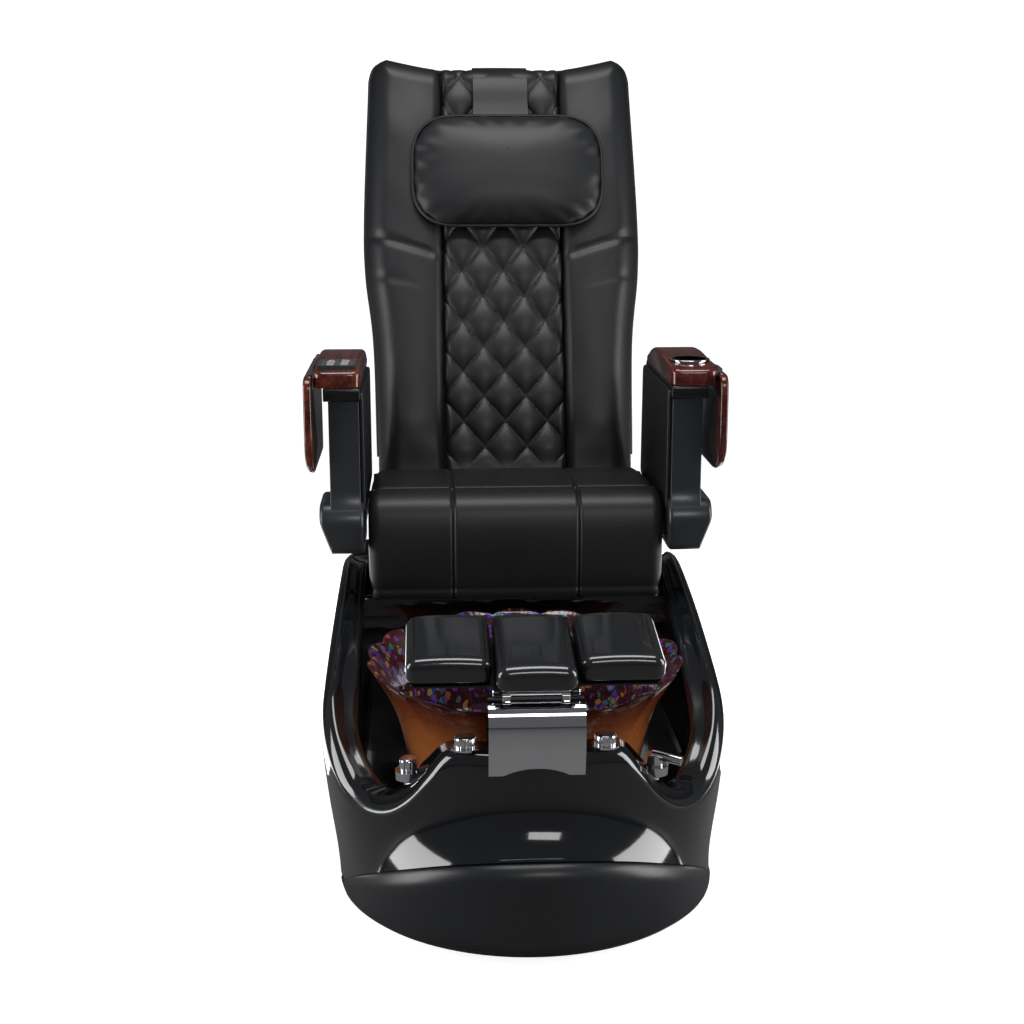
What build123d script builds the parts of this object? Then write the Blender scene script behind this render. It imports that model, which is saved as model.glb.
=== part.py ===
from build123d import *
import math
import os

# Pedicure spa chair. Millimetres. Origin on the floor under the middle of the object.
# +X to the right of someone who faces the chair, +Y towards the backrest, +Z up.
# "left" and "right" in the names are as seen by that person.

# ---------------------------------------------------------------- driving dimensions
overall_length = 1440.0
floor_gap = 6.0            # under the moulded shells

# moulded tub
hull_half_width = 342.0
hull_bulge = 12.0          # how far the flanks swell outwards at mid height
hull_rear_y = 460.0
nose_centre_y = -290.0     # where the straight flanks turn into the rounded nose
hull_front_y = -660.0
shell_wall = 5.0
well_half_width = 288.0
well_front_y = -612.0
well_rear_y = 50.0
shelf_z = 184.0            # floor of the well, where the bowl stands
hump_top_z = 330.0
hump_flat_half = 140.0
hump_setback = 4.0         # behind the hull's nose
bowl_moat = 6.0            # air between the bowl's wall and the hump
rear_opening = (150.0, 84.0, 270.0)   # half width, low z, high z

# front skirt: its top edge climbs from the floor at the sides to the middle of the nose
skirt_back_y = -400.0
skirt_rise = 0.567         # climb of the top edge per unit of length
skirt_wall = 5.0
seam_gap = 1.0

# foot bowl
bowl_y = -330.0
bowl_rim_radius = 272.0
bowl_foot_radius = 200.0
bowl_rim_z = 388.0
bowl_wall = 8.0
gasket_height = 6.0
drain_bore_radius = 24.0

# steel base frame, on four levelling feet
frame_tube = 30.0
frame_half_gauge = 170.0
foot_height = 25.0
rail_base_z = 355.0
frame_front_y = -540.0
frame_rear_y = 435.0
rail_front_y = 75.0
rail_width = 20.0
rail_height = 18.0
running_gap = 0.3          # between sliding faces
pin_gap = 0.05             # radial clearance of running pins

# seat
seat_half_width = 276.0
seat_front_y = -85.0
seat_top_z = 610.0
seat_pan_z = 452.0
roll_bottom_z = 411.0
roll_depth = 105.0

# backrest
back_angle = 19.66         # lean from upright, degrees
back_length = 892.0
back_thickness = 127.0
crease_z = 580.0
pad_thickness = 52.0
panel_half_width = 127.0
top_dip = 20.0
pivot_below_crease = 6.0
pivot_depth = 66.0         # behind the front face of the pads
lower_end_radius = 58.0

# head pillow and its strap
pillow_width = 400.0
pillow_height = 238.0
pillow_thickness = 62.0
strap_width = 118.0
strap_thickness = 4.0

# massage drive, between the pads and the rear shell
rail_gauge = 76.0
massage_rail_radius = 7.0
carriage_height = 120.0
carriage_start_v = 130.0
screw_radius = 6.0
roller_radius = 16.0

# armrests
arm_inner_x = 288.0
arm_width = 56.0
arm_front_y = -78.0
arm_top_z = 815.0
arm_rear_y = 305.0
arm_foot_z = 505.0
wood_inner_x = 284.0
wood_width = 86.0
wood_front_y = -85.0
wood_thickness = 34.0
arm_pivot = (270.0, 532.0)
pivot_radius = 6.0

# fold-up trays outside the arms
tray_thickness = 15.0
tray_length = 300.0
tray_drop = 192.0
tray_front_y = -102.0
tray_axis_x = 375.5
tray_axis_z = 842.0
hinge_radius = 4.5
hinge_pin_radius = 2.5

# cup holder and touch panel
cup_radius = 32.0
cup_wall = 1.2
cup_depth = 62.0
cup_flange_radius = 39.0
cup_y = -8.0
panel_size = (70.0, 92.0)
panel_depth = 6.0

# footrest
footrest_axis = (-632.0, 424.0)
footrest_tilt = 9.0
footrest_half_width = 203.0
footrest_length = 205.0
footrest_pad = 42.0
bracket_half_width = 75.0
bracket_sheet = 3.0

# deck fittings
knob_x = 110.0
knob_y = -618.0
knob_radius = 17.0
shoulder_x = 200.0
shoulder_y = -540.0
shoulder_z = 250.0         # flat seat of the shoulder fittings

# plumbing, frames, drives and fittings: smaller sizes
drain_pipe_radius = 20.0
drain_pipe_z = 40.0
spigot_length = 24.0       # free ends outside the rear wall
inlet_x = 90.0
inlet_z = 38.0
inlet_radius = 10.4
power_x = (194.0, 224.0)
power_z = (98.0, 148.0)
jet_x = 135.0
jet_z = 300.0
hose_radius = 11.0
pump_y = 100.0
pump_z = 190.0
pump_radius = 70.0
impeller_radius = 56.0
bracket_bolt_x = 50.0
bracket_bolt_y = -622.0
carriage_starts = (85.0, 262.0)
carriage_length = 68.0
actuator_z = 330.0
lug_y = 120.0
frame_bar = 28.0
hinge_x = (196.0, 204.0)
clevis = (6.6, -137.4)         # up the back, out of its face
clevis_gap = 18.0
clevis_hole = 8.0
drive_depth = 88.0
roller_depth = 70.0
yoke_height = 62.0
base_eye = (345.0, 402.0)      # (y, z) of its lower pin, behind the seat frame
rod_radius = 8.0
knuckles = [(-70, -50), (-50, -30), (120, 140), (140, 160)]
ear_x = (40.0, 52.0)
pad_base = 12.0
pad_overhang = 32.0        # of the centre pad, in front of the hinge

# ---------------------------------------------------------------- values worked out from them
lean = math.radians(back_angle)
crease_y = overall_length / 2 - back_length * math.sin(lean) - back_thickness * math.cos(lean)
skirt_front_y = -overall_length / 2
BACK = Plane(
    origin=(0, crease_y, crease_z),
    x_dir=(1, 0, 0),
    z_dir=(0, -math.cos(lean), math.sin(lean)),
)
bowl_floor_z = shelf_z + gasket_height
rail_z = rail_base_z + frame_tube
rail_top_z = rail_z + rail_height
seat_frame_z = rail_top_z + running_gap + 9.0
pillow_bottom_v = back_length - 380.0
head_v = back_length - 117.0      # top cross tube of the back frame
strap_end_v = back_length - 152.0
deck_holes = [(-knob_x, knob_y), (knob_x, knob_y), (-shoulder_x, shoulder_y), (shoulder_x, shoulder_y)]
arm_lug_x = (arm_inner_x + 22.0, arm_inner_x + 34.0)
cup_x = wood_inner_x + wood_width / 2
cup_rim_z = arm_top_z + wood_thickness + 6.5
touch_y = (wood_front_y + 12.0, wood_front_y + 12.0 + panel_size[1])
touch_z = arm_top_z + wood_thickness - 3.0


# ---------------------------------------------------------------- small helpers
def block(x, y, z):
    """Box between (low, high) pairs."""
    centre = [(low + high) / 2 for low, high in (x, y, z)]
    size = [high - low for low, high in (x, y, z)]
    return Pos(*centre) * Box(*size)


def bar(start, end, radius):
    """Round bar between two points."""
    axis = Vector(*end) - Vector(*start)
    return extrude(Plane(origin=start, z_dir=axis) * Circle(radius), axis.length)


def face_of(*curves):
    """Flat face inside a closed run of curves."""
    return make_face([edge for curve in curves for edge in curve.edges()])


def polygon(points):
    return face_of(Polyline(*points, close=True))


def plan_slab(profile, z):
    """Profile in (x, y), between two heights."""
    return extrude(Plane.XY.offset(z[0]) * profile, z[1] - z[0])


def side_slab(profile, x):
    """Profile in (y, z), between two x values."""
    return extrude(Plane.YZ.offset(x[0]) * profile, x[1] - x[0])


def front_slab(profile, y):
    """Profile in (x, z), between two y values."""
    return extrude(Plane.XZ.offset(-y[1]) * profile, y[1] - y[0])


def both_sides(shape):
    """The shape and its mirror image, as one group."""
    return Compound(children=[shape, mirror(shape, Plane.YZ)])


def mirrored(shape):
    return mirror(shape, Plane.YZ)


def group(shapes):
    solids = [solid for shape in shapes for solid in shape.solids()]
    return Compound(children=solids)


def on_back(shape):
    """Move a shape from the backrest's own axes (across, up the back, out of its face)."""
    return BACK.location * shape


def save(name, shape):
    solids = shape.solids()
    result = solids[0] if len(solids) == 1 else Compound(children=list(solids))
    result.label = name
    export_step(result, f"parts/{name}.step")
    box = result.bounding_box()
    print(f"{name:26s} {len(solids):2d} solid(s)  z {box.min.Z:7.1f} to {box.max.Z:7.1f}")


# ---------------------------------------------------------------- tub
def nose_plan(half_width, front_y, rear_y, corner):
    """Straight flanks, an elliptical nose and two rounded rear corners."""
    depth = rear_y - nose_centre_y
    rect = Pos(0, nose_centre_y + depth / 2) * Rectangle(2 * half_width, depth)
    rect = fillet(rect.vertices().group_by(Axis.Y)[-1], corner)
    return rect + Pos(0, nose_centre_y) * Ellipse(half_width, nose_centre_y - front_y)


def hull_section(inset):
    """The flanks' swelling, seen from the front."""
    foot = hull_half_width - 17 - inset
    wide = hull_half_width + hull_bulge - inset
    top = hull_half_width - 14 - inset
    right = Spline((foot, 0), (wide - 5, 160), (wide, 290), (top, 480))
    left = Spline((-top, 480), (-wide, 290), (-wide + 5, 160), (-foot, 0))
    return face_of(right, Line((top, 480), (-top, 480)), left, Line((-foot, 0), (foot, 0)))


def sheer_profile(drop):
    """The rail line, seen from the side: low at the nose, high beside the seat."""
    rail = [(-700, 200), (-560, 212), (-420, 262), (-250, 335), (-80, 405), (60, 440), (150, 438), (260, 402),
            (480, 368)]
    sheer = Spline(*[(y, z - drop) for y, z in rail])
    return face_of(sheer, Polyline((480, 368 - drop), (480, -5), (-700, -5), (-700, 200 - drop)))


def hull(inset):
    """Outer body of the tub, or with an inset the air inside it."""
    rear = hull_rear_y - inset
    plan = nose_plan(hull_half_width + hull_bulge - inset, hull_front_y + inset, rear, 110 - inset)
    low = floor_gap if inset == 0 else 0
    body = plan_slab(plan, (low, 480))
    body &= front_slab(hull_section(inset), (-720, 480))
    return body & side_slab(sheer_profile(inset), (-400, 400))


def skirt_plane_z(y):
    return (skirt_back_y - y) * skirt_rise


def under_skirt(lift, front):
    """Wedge below the skirt's top edge, raised by a lift."""
    back = skirt_back_y + lift / skirt_rise
    tip = skirt_plane_z(front) + lift
    return side_slab(polygon([(back, 0), (front, tip), (front, -20), (back, -20)]), (-420, 420))


def hump(inset):
    """Raised saddle across the nose, in front of the bowl."""
    front = hull_front_y + hump_setback + inset
    plan = nose_plan(hull_half_width - inset, front, -200, 20)
    clear = bowl_rim_radius - 12 + bowl_moat + inset
    plan -= Pos(0, bowl_y) * Circle(clear)
    top = hump_top_z - inset
    half = hump_flat_half - inset / 2
    section = polygon([(-340, 60), (340, 60), (340, 196 - inset), (262, 212 - inset), (205, 248 - inset),
                       (half, top), (-half, top), (-205, 248 - inset),
                       (-262, 212 - inset), (-340, 196 - inset)])
    slope = polygon([(front - 1, 60), (front - 1, 270), (front + 22, top), (-520, top), (-430, 190 - inset),
                     (-430, 60)])
    body = plan_slab(plan, (60, 400))
    body &= front_slab(section, (-720, -300))
    return body & side_slab(slope, (-400, 400))


def well(grow):
    """Hollow that the bowl stands in; grown, it is the wall round that hollow."""
    plan = nose_plan(well_half_width + grow, well_front_y - grow, well_rear_y + grow, 60 + grow)
    return plan_slab(plan, (shelf_z - grow, 600))


def tub_shell():
    saddle = hump(0)
    shell = hull(0) - (well(0) - saddle) + saddle
    air = (hull(shell_wall) - well(shell_wall)) + hump(shell_wall)
    shell -= air
    # flat, recessed seats for the two shoulder fittings
    for x in (-shoulder_x, shoulder_x):
        shell += bar((x, shoulder_y, shoulder_z - shell_wall), (x, shoulder_y, 400), 28) & saddle
        shell -= bar((x, shoulder_y, shoulder_z), (x, shoulder_y, 400), 23.5)
    shell -= block((-400, 400), (-700, 500), (-50, floor_gap))
    shell -= under_skirt(seam_gap, -760)
    # open under the seat, where the frame stands
    shell -= block((-262, 262), (well_rear_y + 15, hull_rear_y - 20), (300, 600))
    clear = seat_half_width + 5
    shell -= block((-clear, clear), (well_rear_y - 1, hull_rear_y - 20), (seat_frame_z - 30, 600))
    # rear service opening, pipe holes, bowl drain hole and jet hose holes
    half, low, high = rear_opening
    shell -= block((-half, half), (430, 480), (low, high))
    shell -= bar((0, 430, drain_pipe_z), (0, 480, drain_pipe_z), drain_pipe_radius + 1)
    for x in (-inlet_x, inlet_x):
        shell -= bar((x, 430, inlet_z), (x, 480, inlet_z), inlet_radius + 0.5)
    shell -= block(power_x, (430, 480), power_z)
    shell -= bar((0, bowl_y, shelf_z - 20), (0, bowl_y, shelf_z + 5), 110)
    for x in (-jet_x, jet_x):
        shell -= bar((x, 20, jet_z), (x, 80, jet_z), hose_radius + 1)
    for x, y in deck_holes:
        shell -= bar((x, y, 180), (x, y, 345), 9)
    for x in (-bracket_bolt_x, bracket_bolt_x):
        shell -= bar((x, bracket_bolt_y, 300), (x, bracket_bolt_y, 345), 3.2)
    return largest(shell)


def largest(shape):
    """The main solid, without loose slivers."""
    return sorted(shape.solids(), key=lambda solid: solid.volume)[-1]


def skirt_body(inset):
    rise = nose_centre_y - skirt_front_y - inset
    plan = Pos(0, nose_centre_y) * Ellipse(hull_half_width + hull_bulge - inset, rise)
    front = skirt_front_y + inset
    arc = ThreePointArc((front + 32, 0), (front, 95), (front + 12, 200))
    profile = face_of(arc, Polyline((front + 12, 200), (-250, 200), (-250, 0), (front + 32, 0)))
    body = plan_slab(plan, (0, 200)) & side_slab(profile, (-400, 400))
    return body & front_slab(hull_section(inset), (-760, 0))


def front_skirt():
    """Belly moulding below the slanted seam, with a ledge that carries the tub's edge."""
    outer = skirt_body(0) & under_skirt(0, -760)
    outer -= block((-400, 400), (-800, 0), (-50, floor_gap))
    inner = skirt_body(skirt_wall) & under_skirt(-4, -760)
    lid = nose_plan(hull_half_width - 34, hull_front_y + 34, -200, 10)
    return largest(outer - inner - plan_slab(lid, (-10, 300)))


def rear_access_panel():
    half, low, high = rear_opening
    panel = block((-half - 14, half + 14), (hull_rear_y, hull_rear_y + 4), (low - 14, high + 14))
    panel = fillet(panel.edges().filter_by(Axis.Y), 10)
    for z in range(int(low) + 40, int(high) - 30, 14):
        panel -= block((-half + 60, half - 60), (hull_rear_y - 1, hull_rear_y + 5), (z, z + 5))
    return panel


# ---------------------------------------------------------------- bowl and water


def bowl_radius(z):
    """Outer radius of the bowl's flaring wall at a height."""
    t = (z - bowl_floor_z) / (bowl_rim_z - bowl_floor_z)
    return bowl_foot_radius + (bowl_rim_radius - bowl_foot_radius) * (0.62 * t + 0.38 * t ** 3)


def foot_bowl():
    heights = [bowl_floor_z + (bowl_rim_z - bowl_floor_z) * step / 5 for step in range(6)]
    outer = [(bowl_radius(z), z) for z in heights]
    floor_top = bowl_floor_z + bowl_wall
    inner = [(bowl_radius(z) - bowl_wall, max(z, floor_top)) for z in heights]
    wall = face_of(
        Spline(*outer),
        Line(outer[-1], inner[-1]),
        Spline(*reversed(inner)),
        Polyline(inner[0], (drain_bore_radius, floor_top), (drain_bore_radius, bowl_floor_z), outer[0]),
    )
    plane = Plane(origin=(0, bowl_y, 0), x_dir=(1, 0, 0), z_dir=(0, -1, 0))
    bowl = revolve(plane * wall, Axis((0, bowl_y, 0), (0, 0, 1)))
    for x in (-jet_x, jet_x):
        bowl -= bar((x, bowl_y + 80, jet_z), (x, 0, jet_z), hose_radius + 0.5)
    return bowl


def bowl_gasket():
    ring = Pos(0, bowl_y) * (Circle(172) - Circle(150))
    return plan_slab(ring, (shelf_z, bowl_floor_z))


def jet_nozzles():
    """Chrome outlets on the bowl's rear wall, with a tail that takes the hose."""
    nozzles = []
    for x in (-jet_x, jet_x):
        wall_y = bowl_y + math.sqrt((bowl_radius(jet_z) - bowl_wall) ** 2 - x ** 2)
        face = block((x - 22, x + 22), (wall_y - 34, wall_y - 28), (jet_z - 9, jet_z + 9))
        neck = bar((x, wall_y - 28, jet_z), (x, wall_y + 24, jet_z), hose_radius - 3)
        bore = bar((x, wall_y - 40, jet_z), (x, wall_y + 40, jet_z), 4)
        nozzles.append(face + neck - bore)
    return group(nozzles)


def jet_hoses():
    """Hoses from the two outlets back to the pump."""
    hoses = []
    for side in (-1, 1):
        x = side * jet_x
        wall_y = bowl_y + math.sqrt((bowl_radius(jet_z) - bowl_wall) ** 2 - x ** 2)
        start = (x, wall_y + 2, jet_z)
        turn = (x, pump_y + 16, jet_z)
        end = (side * (pump_radius - 24), pump_y + 16, pump_z + 53)
        hose = bar(start, turn, hose_radius) + bar(turn, end, hose_radius) + Pos(*turn) * Sphere(hose_radius)
        hose -= bar((x, wall_y - 5, jet_z), turn, hose_radius - 3)
        hoses.append(hose - jet_pump())
    return group([largest(hose) for hose in hoses])


def jet_pump():
    """Pump housing with a motor behind it; the impeller turns in its chamber."""
    volute = bar((0, pump_y, pump_z), (0, pump_y + 36, pump_z), pump_radius)
    motor = bar((0, pump_y + 36, pump_z), (0, pump_y + 170, pump_z), 52)
    chamber = bar((0, pump_y + 5, pump_z), (0, pump_y + 31, pump_z), impeller_radius + 4)
    shaft = bar((0, pump_y + 20, pump_z), (0, pump_y + 110, pump_z), 5 + pin_gap)
    foot = block((-50, 50), (pump_y + 40, pump_y + 150), (pump_z - 72, pump_z - 40))
    return volute + motor + foot - chamber - shaft


def pump_impeller():
    hub = bar((0, pump_y + 8, pump_z), (0, pump_y + 28, pump_z), 14)
    disc = bar((0, pump_y + 24, pump_z), (0, pump_y + 28, pump_z), impeller_radius)
    shaft = bar((0, pump_y + 20, pump_z), (0, pump_y + 108, pump_z), 5)
    wheel = hub + disc + shaft
    blade = block((12, impeller_radius - 4), (pump_y + 9, pump_y + 25), (-2, 2))
    for turn in range(6):
        wheel += Pos(0, 0, pump_z) * Rot(0, turn * 60, 0) * blade
    return wheel


def drain_body():
    """Flanged drain with a guide for the stopper's stem."""
    z = bowl_floor_z + bowl_wall
    flange = bar((0, bowl_y, z), (0, bowl_y, z + 3), 34)
    tail = bar((0, bowl_y, 108), (0, bowl_y, z), drain_bore_radius - 0.5)
    bore = bar((0, bowl_y, 100), (0, bowl_y, z + 5), 18)
    spider = block((-20, 20), (bowl_y - 3, bowl_y + 3), (130, 150))
    spider += bar((0, bowl_y, 130), (0, bowl_y, 150), 9)
    stem_hole = bar((0, bowl_y, 120), (0, bowl_y, 160), 4 + pin_gap)
    return flange + tail - bore + spider - stem_hole


def drain_stopper():
    z = bowl_floor_z + bowl_wall + 3 + running_gap
    cap = bar((0, bowl_y, z), (0, bowl_y, z + 6), 26)
    stem = bar((0, bowl_y, 124), (0, bowl_y, z), 4)
    return fillet(cap.edges().group_by(Axis.Z)[-1], 2.5) + stem


def drain_outlet_pipe():
    """Waste pipe to the rear wall, with a wider spigot outside it."""
    inside = drain_pipe_radius - 2
    inner = drain_pipe_radius - 5
    end = hull_rear_y + spigot_length + 4
    pipe = bar((0, bowl_y, drain_pipe_z), (0, bowl_y, 108), inside)
    pipe += bar((0, bowl_y, drain_pipe_z), (0, end, drain_pipe_z), inside)
    pipe += Pos(0, bowl_y, drain_pipe_z) * Sphere(inside)
    pipe += bar((0, end - spigot_length, drain_pipe_z), (0, end, drain_pipe_z), drain_pipe_radius)
    pipe -= bar((0, bowl_y, drain_pipe_z), (0, bowl_y, 120), inner)
    pipe -= bar((0, bowl_y, drain_pipe_z), (0, end + 10, drain_pipe_z), inner)
    return pipe - Pos(0, bowl_y, drain_pipe_z) * Sphere(inner)


def water_inlets():
    """Hot and cold nipples, each with a hexagon shoulder inside the rear wall."""
    nipples = []
    end = hull_rear_y + spigot_length + 4
    for x in (-inlet_x, inlet_x):
        nipple = bar((x, hull_rear_y - 46, inlet_z), (x, end, inlet_z), inlet_radius - 0.6)
        nipple += bar((x, end - spigot_length, inlet_z), (x, end, inlet_z), inlet_radius)
        nut = Plane(origin=(x, hull_rear_y - 20, inlet_z), z_dir=(0, 1, 0)) * RegularPolygon(15, 6)
        bore = bar((x, hull_rear_y - 60, inlet_z), (x, end + 10, inlet_z), 7)
        nipples.append(nipple + extrude(nut, 14) - bore)
    return group(nipples)


def power_supply_box():
    box = block((185, 285), (190, 350), (60, 200))
    return fillet(box.edges(), 6)


def power_inlet():
    """Appliance inlet in the rear wall."""
    socket = block((power_x[0] + 0.5, power_x[1] - 0.5), (420, 460.0), (power_z[0] + 0.5, power_z[1] - 0.5))
    flange = block((power_x[0] - 8, power_x[1] + 8), (hull_rear_y, hull_rear_y + 3),
                   (power_z[0] - 6, power_z[1] + 6))
    mouth = block((power_x[0] + 8, power_x[1] - 8), (440, 470), (power_z[0] + 6, power_z[1] - 6))
    return socket + flange - mouth


# ---------------------------------------------------------------- base frame and slide
def tube_x(x, y, z):
    half = frame_tube / 2
    return block(x, (y - half, y + half), (z - half, z + half))


def base_frame():
    """Welded square-tube frame: two floor runners, four uprights and two upper beams."""
    half = frame_tube / 2
    x = (frame_half_gauge - half, frame_half_gauge + half)
    low = (foot_height, foot_height + frame_tube)
    runner = block(x, (frame_front_y, frame_rear_y), low)
    upper = block(x, (rail_front_y, frame_rear_y), (rail_base_z, rail_z))
    side = runner + upper
    for y in (rail_front_y + half, frame_rear_y - half):
        side += block(x, (y - half, y + half), (foot_height, rail_base_z))
    side += block(x, (frame_front_y, frame_front_y + frame_tube), (foot_height, shelf_z - shell_wall))
    frame = side + mirrored(side)
    cross = (-frame_half_gauge, frame_half_gauge)
    frame += tube_x(cross, rail_front_y + half, rail_base_z + half)
    frame += tube_x(cross, frame_rear_y - half, rail_base_z + half)
    frame += tube_x(cross, rail_front_y + half + 60, 85 + half)
    return frame


def levelling_feet():
    feet = []
    for y in (frame_front_y + 60, frame_rear_y - 40):
        for x in (-frame_half_gauge, frame_half_gauge):
            pad = bar((x, y, 0), (x, y, 10), 24)
            stud = bar((x, y, 10), (x, y, foot_height), 7)
            feet.append(pad + stud)
    return group(feet)


def slide_rails():
    half = rail_width / 2
    rail = block((frame_half_gauge - half, frame_half_gauge + half), (rail_front_y, frame_rear_y),
                 (rail_z, rail_top_z))
    return both_sides(rail)


def slide_carriages():
    """Four saddles that straddle the rails."""
    half = rail_width / 2 + running_gap
    blocks = []
    for y in carriage_starts:
        body = block((frame_half_gauge - 24, frame_half_gauge + 24), (y, y + carriage_length),
                     (rail_z + 3, seat_frame_z))
        slot = block((frame_half_gauge - half, frame_half_gauge + half), (y - 1, y + carriage_length + 1),
                     (rail_z, rail_top_z + running_gap))
        blocks.append(body - slot)
        blocks.append(mirrored(body - slot))
    return group(blocks)


def slide_actuator_body():
    start = lug_y + 116
    tube = bar((0, start, actuator_z), (0, start + 196, actuator_z), 17)
    tube -= bar((0, start - 5, actuator_z), (0, start + 190, actuator_z), 8 + pin_gap)
    motor = bar((34, start + 80, actuator_z - 4), (34, start + 160, actuator_z - 4), 20)
    mount = block((-20, 20), (frame_rear_y - 26, frame_rear_y - 6), (actuator_z + 12, rail_base_z))
    return tube + motor + mount


def slide_actuator_rod():
    """Rod of the slide actuator, with the lug that hangs from the seat frame."""
    thread = bar((0, lug_y, actuator_z), (0, lug_y + 205, actuator_z), 8)
    lug = block((-12, 12), (lug_y - 8, lug_y + 10), (actuator_z - 14, seat_frame_z))
    return thread + lug


# ---------------------------------------------------------------- seat


def seat_frame():
    """Welded seat frame with outriggers that carry the armrests."""
    z = (seat_frame_z, seat_frame_z + frame_bar)
    half = frame_bar / 2
    frame = block((frame_half_gauge - half, frame_half_gauge + half), (40, 330), z)
    for start in (40, lug_y - half, 330 - frame_bar):
        frame += block((0, frame_half_gauge + half), (start, start + frame_bar), z)
    y = arm_pivot[0]
    frame += block((frame_half_gauge, arm_lug_x[1]), (y - half, y + half), z)
    frame += block(arm_lug_x, (y - 18, y + 18), (seat_frame_z, arm_pivot[1]))
    frame += bar((arm_lug_x[0], y, arm_pivot[1]), (arm_lug_x[1], y, arm_pivot[1]), 18)
    frame -= bar((300, y, arm_pivot[1]), (340, y, arm_pivot[1]), pivot_radius)
    y, z = base_eye
    frame += block((14, 20), (330 - frame_bar, y), (z - 12, seat_frame_z + frame_bar))
    frame += bar((14, y, z), (20, y, z), 14) + bar((0, y, z), (20, y, z), pivot_radius)
    return frame + mirrored(frame)


def pivot_point():
    """Where the backrest hinges, in the frame's (y, z)."""
    v = -pivot_below_crease
    y = crease_y + v * math.sin(lean) + pivot_depth * math.cos(lean)
    z = crease_z + v * math.cos(lean) - pivot_depth * math.sin(lean)
    return y, z


def seat_cushion():
    y, z = pivot_point()
    front = seat_front_y + roll_depth
    profile = polygon([(front, seat_pan_z), (300, seat_pan_z), (300, crease_z + 4),
                       (front + 40, seat_top_z - 4),
                       (front, seat_top_z - 3)])
    cushion = side_slab(profile, (-seat_half_width, seat_half_width))
    board = block((-seat_half_width + 16, seat_half_width - 16), (front, 292),
                  (seat_frame_z + frame_bar, seat_pan_z))
    return cushion + board - bar((-400, y, z), (400, y, z), pivot_depth + 5)


def seat_front_roll():
    """Bolster that wraps the seat's front edge and hangs down as a hem."""
    front = seat_front_y
    rear = seat_front_y + roll_depth
    top = seat_top_z
    curve = Spline((rear, top - 3), (front + 45, top - 2), (front + 8, top - 40), (front, top - 90),
                   (front + 4, roll_bottom_z + 30), (front + 14, roll_bottom_z))
    back = Polyline((front + 14, roll_bottom_z), (front + 44, roll_bottom_z), (front + 44, seat_pan_z - 12),
                    (rear, seat_pan_z - 12), (rear, top - 3))
    return side_slab(face_of(curve, back), (-seat_half_width, seat_half_width))


def recline_hinge_plates():
    """Two plates up from the seat frame, each with its fixed pivot pin."""
    y, z = pivot_point()
    low = seat_frame_z
    profile = polygon([(330, low), (346, low), (y + 12, z - 50), (y + 12, z), (y - 12, z), (y - 12, z - 60),
                       (330, low + frame_bar)])
    plate = side_slab(profile, hinge_x)
    plate += bar((hinge_x[0], y, z), (hinge_x[1], y, z), 12)
    plate += bar((hinge_x[1], y, z), (hinge_x[1] + 20, y, z), pivot_radius)
    plate += block((frame_half_gauge + frame_bar / 2, hinge_x[1]), (306, 346), (low, low + frame_bar))
    return both_sides(plate)


# ---------------------------------------------------------------- backrest
def back_outline(inset):
    """Half-outline of the backrest in its own plane: waisted low down, with two horns at the top."""
    top = back_length - inset
    dip = back_length - top_dip - inset
    waist, shoulder, widest, neck = (share * back_length for share in (0.314, 0.482, 0.628, 0.919))
    side = Spline((268 - inset, 40), (274 - inset, waist), (290 - inset, shoulder), (292 - inset, widest),
                  (282 - inset, neck))
    corner = Spline((282 - inset, neck), (276 - inset, top - 24), (240, top))
    crest = Spline((240, top), (150, dip + 3), (0, dip))
    close = Polyline((0, dip), (0, 40), (268 - inset, 40))
    return face_of(side, corner, crest, close)


def back_slab(inset, depth):
    """Both halves of the outline, between two depths (0 is the pads' front face)."""
    half = extrude(Plane.XY.offset(depth[0]) * back_outline(inset), depth[1] - depth[0])
    return half + mirrored(half)


def back_shell():
    """Moulded rear cover, open to the front."""
    shell = back_slab(0, (-back_thickness, -pad_thickness))
    shell -= back_slab(4, (-back_thickness + 4, -pad_thickness + 1))
    shell = largest(shell)
    return on_back(shell)


def back_frame():
    """Steel frame inside the cover, with eyes that turn on the hinge pins."""
    depth = (-92.0, -72.0)
    rail = block((190, 215), (60, head_v + 25), depth)
    frame = rail + mirrored(rail)
    frame += block((-215, 215), (60, 85), depth)
    frame += block((-215, 215), (head_v, head_v + 25), depth)
    ear_span = (hinge_x[1] + 1, hinge_x[1] + 12)
    ear = block(ear_span, (-pivot_below_crease, 85), (-pivot_depth - 26, -pivot_depth + 13))
    eye = bar((ear_span[0], -pivot_below_crease, -pivot_depth),
              (ear_span[1], -pivot_below_crease, -pivot_depth), 13)
    bore = bar((180, -pivot_below_crease, -pivot_depth), (240, -pivot_below_crease, -pivot_depth),
               pivot_radius + pin_gap)
    ear = ear + eye - bore
    frame += ear + mirrored(ear)
    # lever with the clevis of the recline actuator
    v, w = clevis
    lever = polygon([(85, -95), (48, -110), (v + 14, w - 13), (v - 14, w - 13), (v - 14, w + 12),
                     (30, -100), (60, -76),
                     (85, -76)])
    lever = side_slab(lever, (-16, 16))
    lever -= block((-clevis_gap / 2, clevis_gap / 2), (v - 40, v + 24), (-200, w + 40))
    lever -= bar((-40, v, w), (40, v, w), clevis_hole)
    frame += lever
    for v in (60, head_v):
        frame -= bar((0, v - 1, -drive_depth), (0, v + 26, -drive_depth), screw_radius + pin_gap)
    return on_back(frame)


def back_core(low_end):
    """Everything in front of the cover, with a rounded lower end about the hinge axis."""
    slab = back_slab(0, (-pad_thickness, 0))
    lower = block((-268, 268), (-pivot_below_crease, 41), (-pad_thickness, 0))
    round_end = bar((-268, -pivot_below_crease, -pivot_depth),
                    (268, -pivot_below_crease, -pivot_depth), lower_end_radius)
    round_end &= block((-268, 268), (-90, 41), (-pad_thickness, 10))
    return slab + lower + round_end if low_end else slab


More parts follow.
